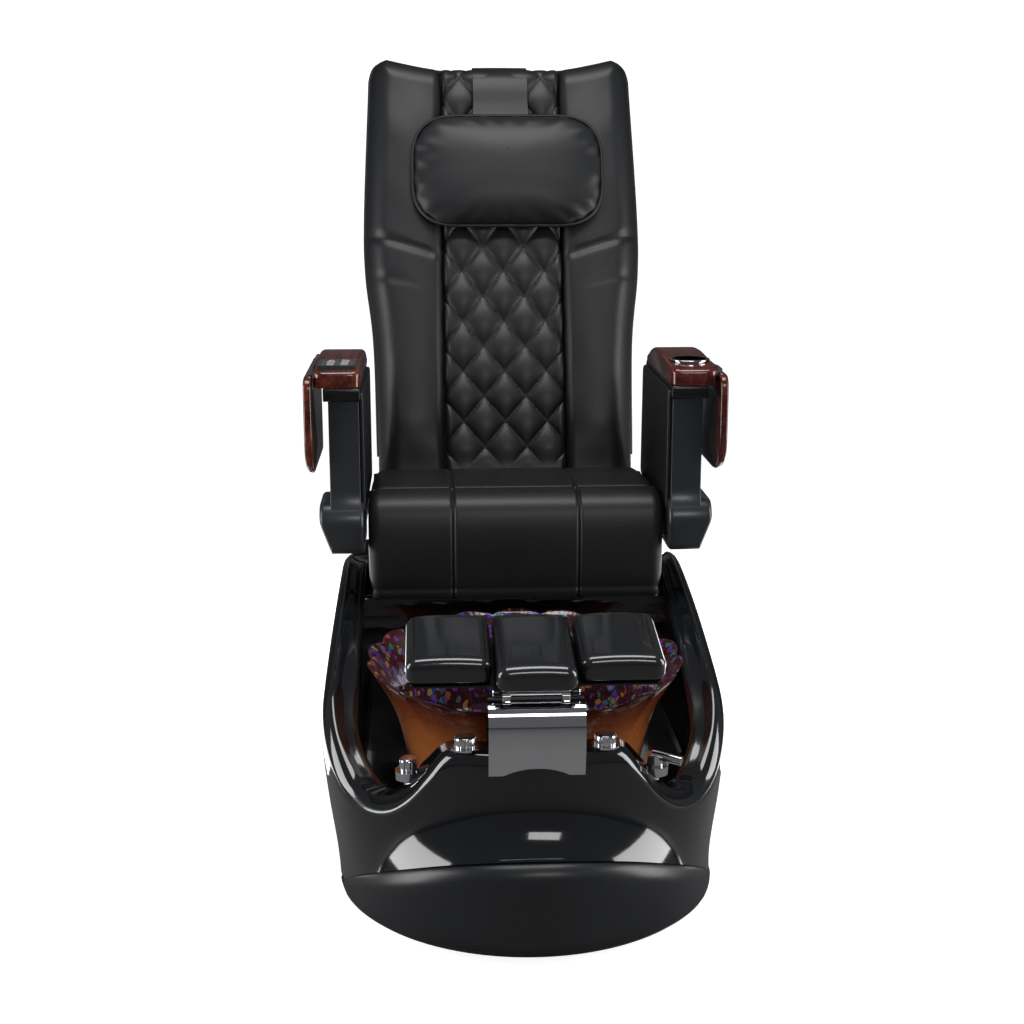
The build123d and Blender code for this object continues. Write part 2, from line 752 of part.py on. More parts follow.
def back_centre_pad():
    strip = block((-panel_half_width, panel_half_width), (-100, 1000), (-200, 200))
    return on_back(largest(back_core(True) & strip))


def back_wing():
    """Side bolster, on the right."""
    strip = block((panel_half_width, 400), (-100, 1000), (-200, 200))
    return on_back(largest(back_core(True) & strip))


def head_pillow():
    outline = Pos(0, pillow_bottom_v + pillow_height / 2) * RectangleRounded(pillow_width, pillow_height, 84)
    pillow = extrude(Plane.XY.offset(0.3) * outline, pillow_thickness)
    pillow = fillet(pillow.edges().group_by(Axis.Z)[-1], 24)
    return on_back(pillow)


def pillow_strap():
    """Band from the pillow over the top edge and a little way down the rear cover."""
    half = strap_width / 2
    low = pillow_bottom_v + pillow_height
    front = strap_thickness
    top = back_length - top_dip + 4 + front
    outer = block((-half, half), (low, top), (-back_thickness - front, front))
    inner = block((-half - 1, half + 1), (0, top - front), (-back_thickness, 0))
    strap = outer - inner
    strap -= block((-400, 400), (0, strap_end_v), (-back_thickness - 20, -back_thickness + 1))
    strap -= back_core(False) + back_slab(0, (-back_thickness, -pad_thickness))
    return on_back(largest(strap))


# ---------------------------------------------------------------- massage drive


def massage_rails():
    rails = []
    for x in (-rail_gauge, rail_gauge):
        rails.append(bar((x, 85, -drive_depth), (x, head_v, -drive_depth), massage_rail_radius))
    return on_back(group(rails))


def massage_carriage():
    """Plate with bushed bores for the rails and the screw, and yokes for the roller shaft."""
    v = (carriage_start_v, carriage_start_v + carriage_height)
    plate = block((-98, 98), v, (-drive_depth - 12, -drive_depth + 12))
    line = carriage_start_v + carriage_height / 2
    for x in (-64, -34, 28, 58):
        plate += block((x, x + 6), (line - 10, line + 10), (-drive_depth, -yoke_height))
    plate -= bar((-80, line, -roller_depth), (80, line, -roller_depth), 4 + pin_gap)
    for x in (-58, 34):
        plate -= block((x, x + 24), (line - roller_radius - 2, line + roller_radius + 2),
                       (-drive_depth - 20, -yoke_height))
    for x in (-rail_gauge, rail_gauge):
        plate -= bar((x, v[0] - 1, -drive_depth), (x, v[1] + 1, -drive_depth), massage_rail_radius + pin_gap)
    plate -= bar((0, v[0] - 1, -drive_depth), (0, v[1] + 1, -drive_depth), screw_radius + pin_gap)
    return on_back(largest(plate))


def massage_rollers():
    """Two kneading rollers on one cross shaft."""
    line = carriage_start_v + carriage_height / 2
    pair = bar((-66, line, -roller_depth), (66, line, -roller_depth), 4)
    for x in (-57, 35):
        wheel = bar((x, line, -roller_depth), (x + 22, line, -roller_depth), roller_radius)
        pair += fillet(wheel.edges(), 5)
    return on_back(pair)


def massage_lead_screw():
    return on_back(bar((0, 64, -drive_depth), (0, head_v + 22, -drive_depth), screw_radius))


# ---------------------------------------------------------------- recline actuator


def clevis_point():
    """Open pivot of the recline linkage, in (y, z)."""
    v, w = clevis
    y = crease_y + v * math.sin(lean) - w * math.cos(lean)
    z = crease_z + v * math.cos(lean) + w * math.sin(lean)
    return y, z


def actuator_direction():
    y, z = clevis_point()
    length = math.hypot(y - base_eye[0], z - base_eye[1])
    return (y - base_eye[0]) / length, (z - base_eye[1]) / length, length


def along_actuator(distance):
    dy, dz, _ = actuator_direction()
    return 0, base_eye[0] + dy * distance, base_eye[1] + dz * distance


def recline_actuator_body():
    tube = bar(along_actuator(9), along_actuator(104), 13)
    eye = bar((-12, *base_eye), (12, *base_eye), 14)
    hole = bar((-30, *base_eye), (30, *base_eye), pivot_radius + pin_gap)
    bore = bar(along_actuator(20), along_actuator(120), rod_radius + pin_gap)
    return tube + eye - hole - bore


def recline_actuator_rod():
    """Rod with a cross pin that sits in the clevis with clearance."""
    end = along_actuator(actuator_direction()[2])
    thread = bar(along_actuator(64), end, rod_radius)
    pin = bar((-20, end[1], end[2]), (20, end[1], end[2]), 4)
    return thread + pin


# ---------------------------------------------------------------- armrests (drawn on the right)
def arm_shell():
    """Moulded arm: front post on a foot block, top beam, rear riser, bottom rail and an inner web."""
    foot = arm_foot_z
    outer = polygon([(arm_front_y - 14, foot), (arm_front_y - 24, 572), (arm_front_y, 606),
                     (arm_front_y, 786),
                     (arm_front_y - 3, arm_top_z), (arm_rear_y - 20, arm_top_z), (arm_rear_y, 790),
                     (arm_rear_y + 3, 560), (arm_rear_y - 8, foot)])
    window = polygon([(arm_front_y + 70, 622), (arm_front_y + 74, 776), (arm_rear_y - 70, 776),
                      (arm_rear_y - 58, 578),
                      (arm_front_y + 120, 578)])
    x = (arm_inner_x, arm_inner_x + arm_width)
    arm = side_slab(outer, x) - side_slab(window, (arm_inner_x + 10, x[1] + 1))
    # the foot block is broader than the post
    block_side = polygon([(arm_front_y - 14, foot), (arm_front_y - 24, 572), (arm_front_y - 4, 602), (30, 602),
                          (50, 572), (50, foot)])
    arm += side_slab(block_side, (seat_half_width + 6, x[1] + 13))
    # slot and bore for the lug of the seat frame
    y, z = arm_pivot
    arm -= block((arm_lug_x[0] - 0.5, arm_lug_x[1] + 0.5), (y - 36, y + 30), (foot - 10, z + 28))
    arm -= bar((x[0] - 5, y, z), (x[1] + 5, y, z), pivot_radius + pin_gap)
    return largest(arm)


def arm_pivot_pin():
    """Headed pin, fixed in the seat frame's lug, that the arm turns on."""
    y, z = arm_pivot
    pin = bar((arm_inner_x + 0.5, y, z), (arm_inner_x + arm_width + 1, y, z), pivot_radius)
    head = bar((arm_inner_x + arm_width + 0.5, y, z), (arm_inner_x + arm_width + 4, y, z), 11)
    return pin + head


def arm_top():
    """Arched wooden top with rounded ends."""
    rear = arm_rear_y - 42
    top = arm_top_z + wood_thickness
    arch = Spline((wood_front_y, top - 3), (-20, top + 3), (90, top + 9), (190, top + 2), (rear, top - 24))
    profile = face_of(arch, Polyline((rear, top - 24), (rear + 4, arm_top_z), (wood_front_y, arm_top_z),
                                     (wood_front_y, top - 3)))
    x = (wood_inner_x, wood_inner_x + wood_width)
    centre = Pos((x[0] + x[1]) / 2, (wood_front_y + rear + 4) / 2)
    plan = centre * RectangleRounded(wood_width, rear + 4 - wood_front_y, 16)
    return side_slab(profile, x) & plan_slab(plan, (arm_top_z, top + 30))


def cup_pocket():
    """Hole that takes the cup holder, with its shallow seat for the flange."""
    hole = bar((cup_x, cup_y, cup_rim_z - cup_depth - 1),
               (cup_x, cup_y, cup_rim_z + 20), cup_radius + cup_wall + 0.4)
    return hole + bar((cup_x, cup_y, cup_rim_z - 3), (cup_x, cup_y, cup_rim_z + 20), cup_flange_radius + 0.3)


def cup_holder():
    """Spun metal cup with a flat flange."""
    low = cup_rim_z - cup_depth
    cup = bar((cup_x, cup_y, low), (cup_x, cup_y, cup_rim_z), cup_radius + cup_wall)
    flange = bar((cup_x, cup_y, cup_rim_z - 3), (cup_x, cup_y, cup_rim_z), cup_flange_radius)
    flange = fillet(flange.edges().group_by(Axis.Z)[-1], 1.4)
    return cup + flange - bar((cup_x, cup_y, low + cup_wall), (cup_x, cup_y, cup_rim_z + 5), cup_radius)


def panel_box(inset, z):
    half = panel_size[0] / 2 - inset
    return block((-cup_x - half, -cup_x + half), (touch_y[0] + inset, touch_y[1] - inset), z)


def control_panel_bezel():
    """Frame of the touch panel, let into the left wooden top."""
    frame = panel_box(0, (touch_z - panel_depth, touch_z + 9))
    return frame - panel_box(5, (touch_z - panel_depth + 2, touch_z + 12))


def control_panel_glass():
    return panel_box(5.2, (touch_z - panel_depth + 2, touch_z + 8))


# ---------------------------------------------------------------- trays (drawn on the right)


def tray_hinge():
    """Leaf on the wooden top, with every second knuckle, and the pin."""
    low = tray_axis_z - 10
    leaf_x = wood_inner_x + wood_width
    hinge = bar((tray_axis_x, knuckles[0][0], tray_axis_z),
                (tray_axis_x, knuckles[-1][1], tray_axis_z), hinge_pin_radius)
    for y in (knuckles[0], knuckles[2]):
        hinge += block((leaf_x, leaf_x + 1.4), (y[0] + 0.5, y[1] - 0.5), (low, tray_axis_z + 3))
        hinge += bar((tray_axis_x, y[0] + 0.5, tray_axis_z), (tray_axis_x, y[1] - 0.5, tray_axis_z), hinge_radius)
    return hinge


def tray():
    """Wooden leaf that hangs outside the arm and folds up to a side table."""
    rear = tray_front_y + tray_length
    top = tray_axis_z - hinge_radius - 1.5
    low = tray_axis_z - tray_drop
    x = (tray_axis_x - 3, tray_axis_x - 3 + tray_thickness)
    outline = Pos((tray_front_y + rear) / 2, (top + low) / 2) * Rectangle(tray_length, top - low)
    outline = fillet(outline.vertices().group_by(Axis.Y)[0], 60)
    outline = fillet(outline.vertices().group_by(Axis.Y)[-1], 10)
    leaf = side_slab(outline, x)
    for y in (knuckles[1], knuckles[3]):
        centre = [(tray_axis_x, end, tray_axis_z) for end in (y[0] + 0.5, y[1] - 0.5)]
        leaf += block((tray_axis_x - 2, tray_axis_x + 4), (y[0] + 0.5, y[1] - 0.5), (top - 4, tray_axis_z - 2))
        leaf += bar(*centre, hinge_radius)
    pin_hole = bar((tray_axis_x, -100, tray_axis_z), (tray_axis_x, 200, tray_axis_z), hinge_pin_radius + pin_gap)
    return leaf - pin_hole


# ---------------------------------------------------------------- footrest


def footrest_bracket():
    """Bright arched bracket on the hump, with two ears and their pins."""
    front = -664.0
    rear = -602.0
    top = 412.0
    t = bracket_sheet
    arch = polygon([(front, 296), (front, top - 12), (front + 12, top), (rear, top), (rear, hump_top_z),
                    (-650, hump_top_z),
                    (-650, hump_top_z + t), (rear - t, hump_top_z + t), (rear - t, top - t),
                    (front + 12, top - t),
                    (front + t, top - 13), (front + t, 296)])
    bracket = side_slab(arch, (-bracket_half_width, bracket_half_width))
    y, z = footrest_axis
    for side in (-1, 1):
        x = sorted((side * ear_x[0], side * ear_x[1]))
        bracket += block(x, (y - 7, y + 7), (top - t, z)) + bar((x[0], y, z), (x[1], y, z), 8)
    bracket += bar((-ear_x[1] - 16, y, z), (ear_x[1] + 16, y, z), 5)
    for x in (-bracket_bolt_x, bracket_bolt_x):
        bracket -= bar((x, bracket_bolt_y, hump_top_z - 1), (x, bracket_bolt_y, hump_top_z + t + 1), 3.2)
    return largest(bracket)


def bracket_bolts():
    bolts = []
    for x in (-bracket_bolt_x, bracket_bolt_x):
        y = bracket_bolt_y
        shank = bar((x, y, hump_top_z - 16), (x, y, hump_top_z + bracket_sheet), 3)
        head = Plane(origin=(x, y, hump_top_z + bracket_sheet), z_dir=(0, 0, 1)) * RegularPolygon(5.5, 6)
        nut = Plane(origin=(x, y, hump_top_z - 12), z_dir=(0, 0, 1)) * RegularPolygon(5.5, 6)
        bolts.append(shank + extrude(head, 4.5) + extrude(nut, 5))
    return group(bolts)


def tilt(shape):
    """Set the footrest's tilt about its hinge."""
    y, z = footrest_axis
    return Pos(0, y, z) * Rot(footrest_tilt, 0, 0) * shape


def footrest_plate():
    half = footrest_half_width - 8
    level = (pad_base - 3, pad_base)
    plate = block((-half, half), (2, footrest_length - 38), level) + block((-56, 56), (-18, 4), level)
    for side in (-1, 1):
        x = sorted((side * (ear_x[1] + 0.5), side * (ear_x[1] + 14)))
        plate += bar((x[0], 0, 0), (x[1], 0, 0), 8) + block(x, (-6, 6), (2, pad_base - 1))
    plate = tilt(plate - bar((-90, 0, 0), (90, 0, 0), 5 + pin_gap))
    return plate


def footrest_pad_block(x, front):
    """Moulded pad with a rolled front edge."""
    base = pad_base
    rear = footrest_length - pad_overhang
    top = base + footrest_pad
    side = polygon([(front, base), (rear, base), (rear, top - 10), (rear - 10, top),
                    (front + 16, top), (front, top - 18)])
    return tilt(side_slab(side, x))


# ---------------------------------------------------------------- deck fittings
def escutcheons():
    """Four chrome collars: two on the hump's flat, two on its shoulders."""
    rings = []
    for x in (-knob_x, knob_x):
        ring = bar((x, knob_y, hump_top_z), (x, knob_y, hump_top_z + 3), 23)
        stem = bar((x, knob_y, hump_top_z - 30), (x, knob_y, hump_top_z + 3), 8)
        rings.append(ring + stem - bar((x, knob_y, hump_top_z - 40), (x, knob_y, hump_top_z + 10), 4 + pin_gap))
    for x in (-shoulder_x, shoulder_x):
        z = shoulder_z
        ring = bar((x, shoulder_y, z), (x, shoulder_y, z + 14), 22)
        stem = bar((x, shoulder_y, z - 50), (x, shoulder_y, z + 14), 8)
        ring = ring + stem - bar((x, shoulder_y, z - 60), (x, shoulder_y, z + 30), 5 + pin_gap)
        rings.append(ring)
    return group(rings)


def deck_knob(x):
    """Fluted knob with its stem."""
    low = hump_top_z + 3 + running_gap
    body = bar((x, knob_y, low), (x, knob_y, low + 17), knob_radius)
    body = fillet(body.edges().group_by(Axis.Z)[-1], 5)
    for turn in range(12):
        angle = math.radians(30 * turn)
        groove = (x + (knob_radius + 1.4) * math.cos(angle), knob_y + (knob_radius + 1.4) * math.sin(angle))
        body -= bar((*groove, low - 1), (*groove, low + 20), 2.6)
    return body + bar((x, knob_y, hump_top_z - 28), (x, knob_y, low + 1), 4)


def mixer_handle():
    """Fluted handle of the water mixer on the left shoulder."""
    low = shoulder_z + 14 + running_gap
    x = -shoulder_x
    body = bar((x, shoulder_y, low), (x, shoulder_y, low + 20), 15)
    body = fillet(body.edges().group_by(Axis.Z)[-1], 5)
    for turn in range(10):
        angle = math.radians(36 * turn)
        groove = (x + 16.2 * math.cos(angle), shoulder_y + 16.2 * math.sin(angle))
        body -= bar((*groove, low - 1), (*groove, low + 24), 2.4)
    return body + bar((x, shoulder_y, shoulder_z - 46), (x, shoulder_y, low + 1), 5)


def hand_sprayer():
    """Sprayer parked in its collar on the right shoulder; it pulls straight out."""
    low = shoulder_z + 14 + running_gap
    x = shoulder_x
    body = bar((x, shoulder_y, low), (x, shoulder_y, low + 18), 14)
    stem = bar((x, shoulder_y, shoulder_z - 46), (x, shoulder_y, low + 1), 5)
    head = bar((x - 4, shoulder_y, low + 17), (x + 40, shoulder_y - 22, low + 13), 8)
    return body + stem + head


# ---------------------------------------------------------------- write every piece
def main():
    os.makedirs("parts", exist_ok=True)
    save("tub_shell", tub_shell())
    save("front_skirt", front_skirt())
    save("rear_access_panel", rear_access_panel())
    save("base_frame", base_frame())
    save("levelling_feet", levelling_feet())
    save("foot_bowl", foot_bowl())
    save("bowl_gasket", bowl_gasket())
    save("drain_body", drain_body())
    save("drain_stopper", drain_stopper())
    save("drain_outlet_pipe", drain_outlet_pipe())
    save("jet_nozzles", jet_nozzles())
    save("jet_hoses", jet_hoses())
    save("jet_pump", jet_pump())
    save("pump_impeller", pump_impeller())
    save("water_inlets", water_inlets())
    save("power_supply_box", power_supply_box())
    save("power_inlet", power_inlet())
    save("slide_rails", slide_rails())
    save("slide_carriages", slide_carriages())
    save("slide_actuator_body", slide_actuator_body())
    save("slide_actuator_rod", slide_actuator_rod())
    save("seat_frame", seat_frame())
    save("seat_cushion", seat_cushion())
    save("seat_front_roll", seat_front_roll())
    save("recline_hinge_plates", recline_hinge_plates())
    save("back_shell", back_shell())
    save("back_frame", back_frame())
    save("back_centre_pad", back_centre_pad())
    save("back_wing_right", back_wing())
    save("back_wing_left", mirrored(back_wing()))
    save("head_pillow", head_pillow())
    save("pillow_strap", pillow_strap())
    save("massage_rails", massage_rails())
    save("massage_lead_screw", massage_lead_screw())
    save("massage_carriage", massage_carriage())
    save("massage_rollers", massage_rollers())
    save("recline_actuator_body", recline_actuator_body())
    save("recline_actuator_rod", recline_actuator_rod())
    save("arm_shell_right", arm_shell() - cup_pocket())
    save("arm_shell_left", mirrored(arm_shell()))
    save("arm_top_right", arm_top() - cup_pocket())
    save("arm_top_left", mirrored(arm_top()) - panel_box(0, (touch_z - panel_depth, touch_z + 40)))
    save("cup_holder", cup_holder())
    save("control_panel_bezel", control_panel_bezel())
    save("control_panel_glass", control_panel_glass())
    for piece, shape in (("tray_hinge", tray_hinge()), ("tray", tray())):
        save(f"{piece}_right", shape)
        save(f"{piece}_left", mirrored(shape))
    save("arm_pivot_pins", both_sides(arm_pivot_pin()))
    save("footrest_bracket", footrest_bracket())
    save("bracket_bolts", bracket_bolts())
    save("footrest_plate", footrest_plate())
    third = footrest_half_width - 136
    save("footrest_pad_centre", footrest_pad_block((-third + 3, third - 3), -pad_overhang))
    save("footrest_pads_side", both_sides(footrest_pad_block((third + 3, footrest_half_width), -2.0)))
    save("deck_escutcheons", escutcheons())
    save("jet_knob", deck_knob(-knob_x))
    save("drain_knob", deck_knob(knob_x))
    save("mixer_handle", mixer_handle())
    save("hand_sprayer", hand_sprayer())


main()
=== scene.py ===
# %% [markdown]
# # Pedicure spa chair
# A reclining chair on a moulded tub, with a glass foot bowl in its nose. The CAD model is the fixed frame.
# Each cell below builds one group of visible pieces around it, in metres, and hangs them on the CAD bodies.
# Looking at the front, +X is to the right, +Y goes towards the backrest and +Z is up.

# %% Load the frame
import math

import bmesh
import bpy
import numpy as np
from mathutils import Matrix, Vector
from mathutils.bvhtree import BVHTree


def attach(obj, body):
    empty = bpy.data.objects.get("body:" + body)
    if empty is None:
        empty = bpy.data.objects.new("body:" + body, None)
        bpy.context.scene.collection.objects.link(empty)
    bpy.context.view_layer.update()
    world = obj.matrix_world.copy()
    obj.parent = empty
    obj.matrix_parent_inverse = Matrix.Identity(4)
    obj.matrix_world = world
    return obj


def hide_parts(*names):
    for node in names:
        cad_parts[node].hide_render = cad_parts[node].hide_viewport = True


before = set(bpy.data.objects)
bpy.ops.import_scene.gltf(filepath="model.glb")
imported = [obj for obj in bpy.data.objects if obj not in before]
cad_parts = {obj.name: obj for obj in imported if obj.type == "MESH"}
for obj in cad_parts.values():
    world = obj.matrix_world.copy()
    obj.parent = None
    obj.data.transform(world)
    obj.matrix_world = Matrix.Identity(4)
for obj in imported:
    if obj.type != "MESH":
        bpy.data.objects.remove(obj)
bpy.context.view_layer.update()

# %% [markdown]
# ## Mesh helpers
# Most pieces are lofts: closed rings of points joined one after another. Soft pads are grids whose rim
# rounds over, so their edges stay even wherever the outline goes.

# %% Turning points into objects
def make_object(name, vertices, faces, sharp=40.0):
    mesh = bpy.data.meshes.new(name)
    mesh.from_pydata([tuple(v) for v in np.asarray(vertices, float).tolist()], [], faces)
    work = bmesh.new()
    work.from_mesh(mesh)
    bmesh.ops.remove_doubles(work, verts=work.verts, dist=2e-6)
    bmesh.ops.recalc_face_normals(work, faces=work.faces)
    work.to_mesh(mesh)
    work.free()
    mesh.shade_smooth()
    mesh.set_sharp_from_angle(angle=math.radians(sharp))
    obj = bpy.data.objects.new(name, mesh)
    bpy.context.scene.collection.objects.link(obj)
    return obj


def grid_faces(rows, columns, wrap=False, start=0):
    """Quads of a grid of points, numbered row by row; wrap joins the last column to the first."""
    faces = []
    last = columns if wrap else columns - 1
    for i in range(rows - 1):
        for j in range(last):
            k = (j + 1) % columns
            a = start + i * columns
            faces.append((a + j, a + k, a + columns + k, a + columns + j))
    return faces


def loft(name, rings, caps=True, sharp=40.0):
    """Closed rings with the same number of points, joined in order."""
    rings = np.asarray(rings, float)
    rows, columns = rings.shape[:2]
    faces = grid_faces(rows, columns, wrap=True)
    if caps:
        faces.append(tuple(range(columns)))
        faces.append(tuple(range((rows - 1) * columns, rows * columns)))
    return make_object(name, rings.reshape(-1, 3), faces, sharp)


def apply_modifier(obj, kind, **settings):
    """Adds a modifier and turns its result into the object's own mesh."""
    modifier = obj.modifiers.new(kind.lower(), kind)
    for key, value in settings.items():
        setattr(modifier, key, value)
    bake(obj)
    return obj


def bake(obj):
    graph = bpy.context.evaluated_depsgraph_get()
    mesh = bpy.data.meshes.new_from_object(obj.evaluated_get(graph))
    obj.modifiers.clear()
    old = obj.data
    obj.data = mesh
    bpy.data.meshes.remove(old)


def join(name, parts):
    """Several loose meshes as one."""
    vertices = []
    faces = []
    for part in parts:
        base = len(vertices)
        vertices += [tuple(v.co) for v in part.data.vertices]
        faces += [tuple(base + i for i in f.vertices) for f in part.data.polygons]
        bpy.data.objects.remove(part)
    return make_object(name, vertices, faces)


def smoothstep(value, low, high):
    t = np.clip((np.asarray(value, float) - low) / (high - low), 0, 1)
    return t * t * (3 - 2 * t)


def curve_through(points, count):
    """Even samples of a smooth curve through some points (Catmull-Rom)."""
    p = np.asarray(points, float)
    p = np.vstack([2 * p[0] - p[1], p, 2 * p[-1] - p[-2]])
    dense = []
    for i in range(1, len(p) - 2):
        t = np.linspace(0, 1, 24, endpoint=False)[:, None]
        a, b, c, d = p[i - 1], p[i], p[i + 1], p[i + 2]
        square = (2 * a - 5 * b + 4 * c - d) * t**2
        cube = (3 * b - a - 3 * c + d) * t**3
        dense.append(0.5 * (2 * b + (c - a) * t + square + cube))
    dense.append(p[-2][None, :])
    return even(np.vstack(dense), count)


def even(points, count):
    """The same polyline, sampled at equal steps."""
    points = np.asarray(points, float)
    steps = np.linalg.norm(np.diff(points, axis=0), axis=1)
    along = np.concatenate([[0], np.cumsum(steps)])
    wanted = np.linspace(0, along[-1], count)
    return np.stack([np.interp(wanted, along, points[:, k]) for k in range(points.shape[1])], axis=1)


def round_corners(points, radii, steps=8):
    """A closed polygon with each corner replaced by a smooth arc."""
    points = [np.asarray(p, float) for p in points]
    count = len(points)
    result = []
    for i, corner in enumerate(points):
        radius = radii[i] if isinstance(radii, (list, tuple)) else radii
        before = points[i - 1] - corner
        after = points[(i + 1) % count] - corner
        reach = min(radius, 0.48 * np.linalg.norm(before), 0.48 * np.linalg.norm(after))
        a = corner + before / np.linalg.norm(before) * reach
        b = corner + after / np.linalg.norm(after) * reach
        for t in np.linspace(0, 1, steps):
            result.append((1 - t) ** 2 * a + 2 * t * (1 - t) * corner + t * t * b)
    return np.array(result)


def inward(section):
    """Unit normals of a closed 2-D section, pointing into it."""
    ahead = np.roll(section, -1, axis=0) - np.roll(section, 1, axis=0)
    normal = np.stack([-ahead[:, 1], ahead[:, 0]], axis=1)
    normal /= np.linalg.norm(normal, axis=1)[:, None] + 1e-12
    x, y = section[:, 0], section[:, 1]
    area = np.sum(x * np.roll(y, -1) - np.roll(x, -1) * y)
    return normal if area > 0 else -normal


def end_round(x, low, high, radius):
    """Inset of a section near the two ends of a sweep, as a quarter round."""
    d = np.minimum(x - low, high - x)
    t = np.clip(1 - d / radius, 0, 1)
    return radius * (1 - np.sqrt(np.maximum(1 - t * t, 0)))


def clustered(low, high, count):
    """Values from low to high, closer together near both ends."""
    t = (1 - np.cos(np.linspace(0, math.pi, count))) / 2
    u = np.linspace(0, 1, count)
    return low + (high - low) * (0.7 * t + 0.3 * u)


def sweep_across(name, section, values, inset, place, sharp=50.0):
    """A closed section carried along one axis, shrunk by inset(value) at each step."""
    normals = inward(section)
    rings = []
    for value in values:
        ring = section + normals * inset(value)
        rings.append([place(value, a, b) for a, b in ring])
    return loft(name, rings, sharp=sharp)


def tube(name, path, radius, closed=False, sides=8):
    """A round cord along a path, for piping and bright trims."""
    path = np.asarray(path, float)
    count = len(path)
    if closed:
        tangent = np.roll(path, -1, axis=0) - np.roll(path, 1, axis=0)
    else:
        tangent = np.gradient(path, axis=0)
    tangent /= np.linalg.norm(tangent, axis=1)[:, None]
    side = np.cross(tangent[0], [0.31, 0.17, 0.93])
    side /= np.linalg.norm(side)
    rings = []
    for k in range(count):
        side = side - tangent[k] * np.dot(side, tangent[k])
        side /= np.linalg.norm(side)
        other = np.cross(tangent[k], side)
        turn = np.linspace(0, 2 * math.pi, sides, endpoint=False)[:, None]
        rings.append(path[k] + radius * (np.cos(turn) * side + np.sin(turn) * other))
    if closed:
        rings.append(rings[0])
    return loft(name, rings, caps=not closed)


def cut_away(obj, cutter):
    """Takes the cutter's shape out of a piece and removes the cutter."""
    apply_modifier(obj, "BOOLEAN", operation="DIFFERENCE", solver="EXACT", object=cutter)
    bpy.data.objects.remove(cutter)


def slab(name, outline, x, bevel=0.004, cuts=(), steps=3):
    """A (y, z) outline between two x values, with holes cut through it and its edges eased."""
    rings = [[(value, y, z) for y, z in outline] for value in x]
    solid = loft(name, rings, sharp=30)
    for cut in cuts:
        cutter = loft("cutter", [[(value, y, z) for y, z in cut["outline"]] for value in cut["x"]])
        cut_away(solid, cutter)
    if bevel:
        apply_modifier(solid, "BEVEL", width=bevel, segments=steps, limit_method="ANGLE", angle_limit=0.6)
    solid.data.shade_smooth()
    solid.data.set_sharp_from_angle(angle=math.radians(40))
    return solid


def mirrored_copy(obj, name):
    """The same piece on the other side of the chair."""
    mesh = obj.data.copy()
    mesh.name = name
    work = bmesh.new()
    work.from_mesh(mesh)
    for vertex in work.verts:
        vertex.co.x = -vertex.co.x
    bmesh.ops.recalc_face_normals(work, faces=work.faces)
    work.to_mesh(mesh)
    work.free()
    copy = bpy.data.objects.new(name, mesh)
    bpy.context.scene.collection.objects.link(copy)
    return copy


def finish_piece(obj, body, material, nodes=()):
    """Gives a piece its material and its place in the frame."""
    obj.data.materials.clear()
    obj.data.materials.append(material)
    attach(obj, body)
    if nodes:
        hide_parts(*nodes)
    return obj


# %% [markdown]
# ## Materials
# Shared effects are small node groups that give colours, masks or normals; the shader stays in each material.

# %% Node groups
def new_group(name, inputs, outputs):
    group = bpy.data.node_groups.new(name, "ShaderNodeTree")
    for title, kind, value in inputs:
        socket = group.interface.new_socket(title, in_out="INPUT", socket_type=kind)
        socket.default_value = value
    for title, kind in outputs:
        group.interface.new_socket(title, in_out="OUTPUT", socket_type=kind)
    return group, group.nodes.new("NodeGroupInput"), group.nodes.new("NodeGroupOutput")


def node(tree, kind, **settings):
    made = tree.nodes.new(kind)
    for key, value in settings.items():
        if key in made.inputs:
            made.inputs[key].default_value = value
        else:
            setattr(made, key, value)
    return made


def ramp(tree, stops):
    made = tree.nodes.new("ShaderNodeValToRGB")
    elements = made.color_ramp.elements
    while len(elements) < len(stops):
        elements.new(0.5)
    for element, (position, colour) in zip(elements, stops):
        element.position = position
        element.color = (*colour, 1)
    return made


def math_node(tree, operation, a, b=None, clamp=False):
    made = tree.nodes.new("ShaderNodeMath")
    made.operation = operation
    made.use_clamp = clamp
    for socket, value in zip(made.inputs, (a, b)):
        if value is None:
            continue
        if isinstance(value, (int, float)):
            socket.default_value = value
        else:
            tree.links.new(value, socket)
    return made.outputs[0]


surface_group, gin, gout = new_group(
    "surface_detail",
    [("Grain size", "NodeSocketFloat", 900.0), ("Grain", "NodeSocketFloat", 0.2),
     ("Waves", "NodeSocketFloat", 0.1), ("Roughness", "NodeSocketFloat", 0.4),
     ("Wear", "NodeSocketFloat", 0.08)],
    [("Normal", "NodeSocketVector"), ("Roughness", "NodeSocketFloat"), ("Mask", "NodeSocketFloat")],
)
where = node(surface_group, "ShaderNodeTexCoord")
cells = node(surface_group, "ShaderNodeTexVoronoi", feature="F1", Scale=900.0)
waves = node(surface_group, "ShaderNodeTexNoise", Scale=14.0, Detail=4.0)
patches = node(surface_group, "ShaderNodeTexNoise", Scale=5.0, Detail=6.0)
fine = node(surface_group, "ShaderNodeBump", Distance=0.0006)
broad = node(surface_group, "ShaderNodeBump", Distance=0.01)
link = surface_group.links.new
for texture in (cells, waves, patches):
    link(where.outputs["Object"], texture.inputs["Vector"])
link(gin.outputs["Grain size"], cells.inputs["Scale"])
link(gin.outputs["Waves"], broad.inputs["Strength"])
link(waves.outputs["Fac"], broad.inputs["Height"])
link(cells.outputs["Distance"], fine.inputs["Height"])
link(gin.outputs["Grain"], fine.inputs["Strength"])
link(broad.outputs["Normal"], fine.inputs["Normal"])
link(fine.outputs["Normal"], gout.inputs["Normal"])
spread = math_node(surface_group, "SUBTRACT", patches.outputs["Fac"], 0.5)
spread = math_node(surface_group, "MULTIPLY", spread, gin.outputs["Wear"])
total = math_node(surface_group, "ADD", spread, gin.outputs["Roughness"], clamp=True)
link(total, gout.inputs["Roughness"])
link(patches.outputs["Fac"], gout.inputs["Mask"])

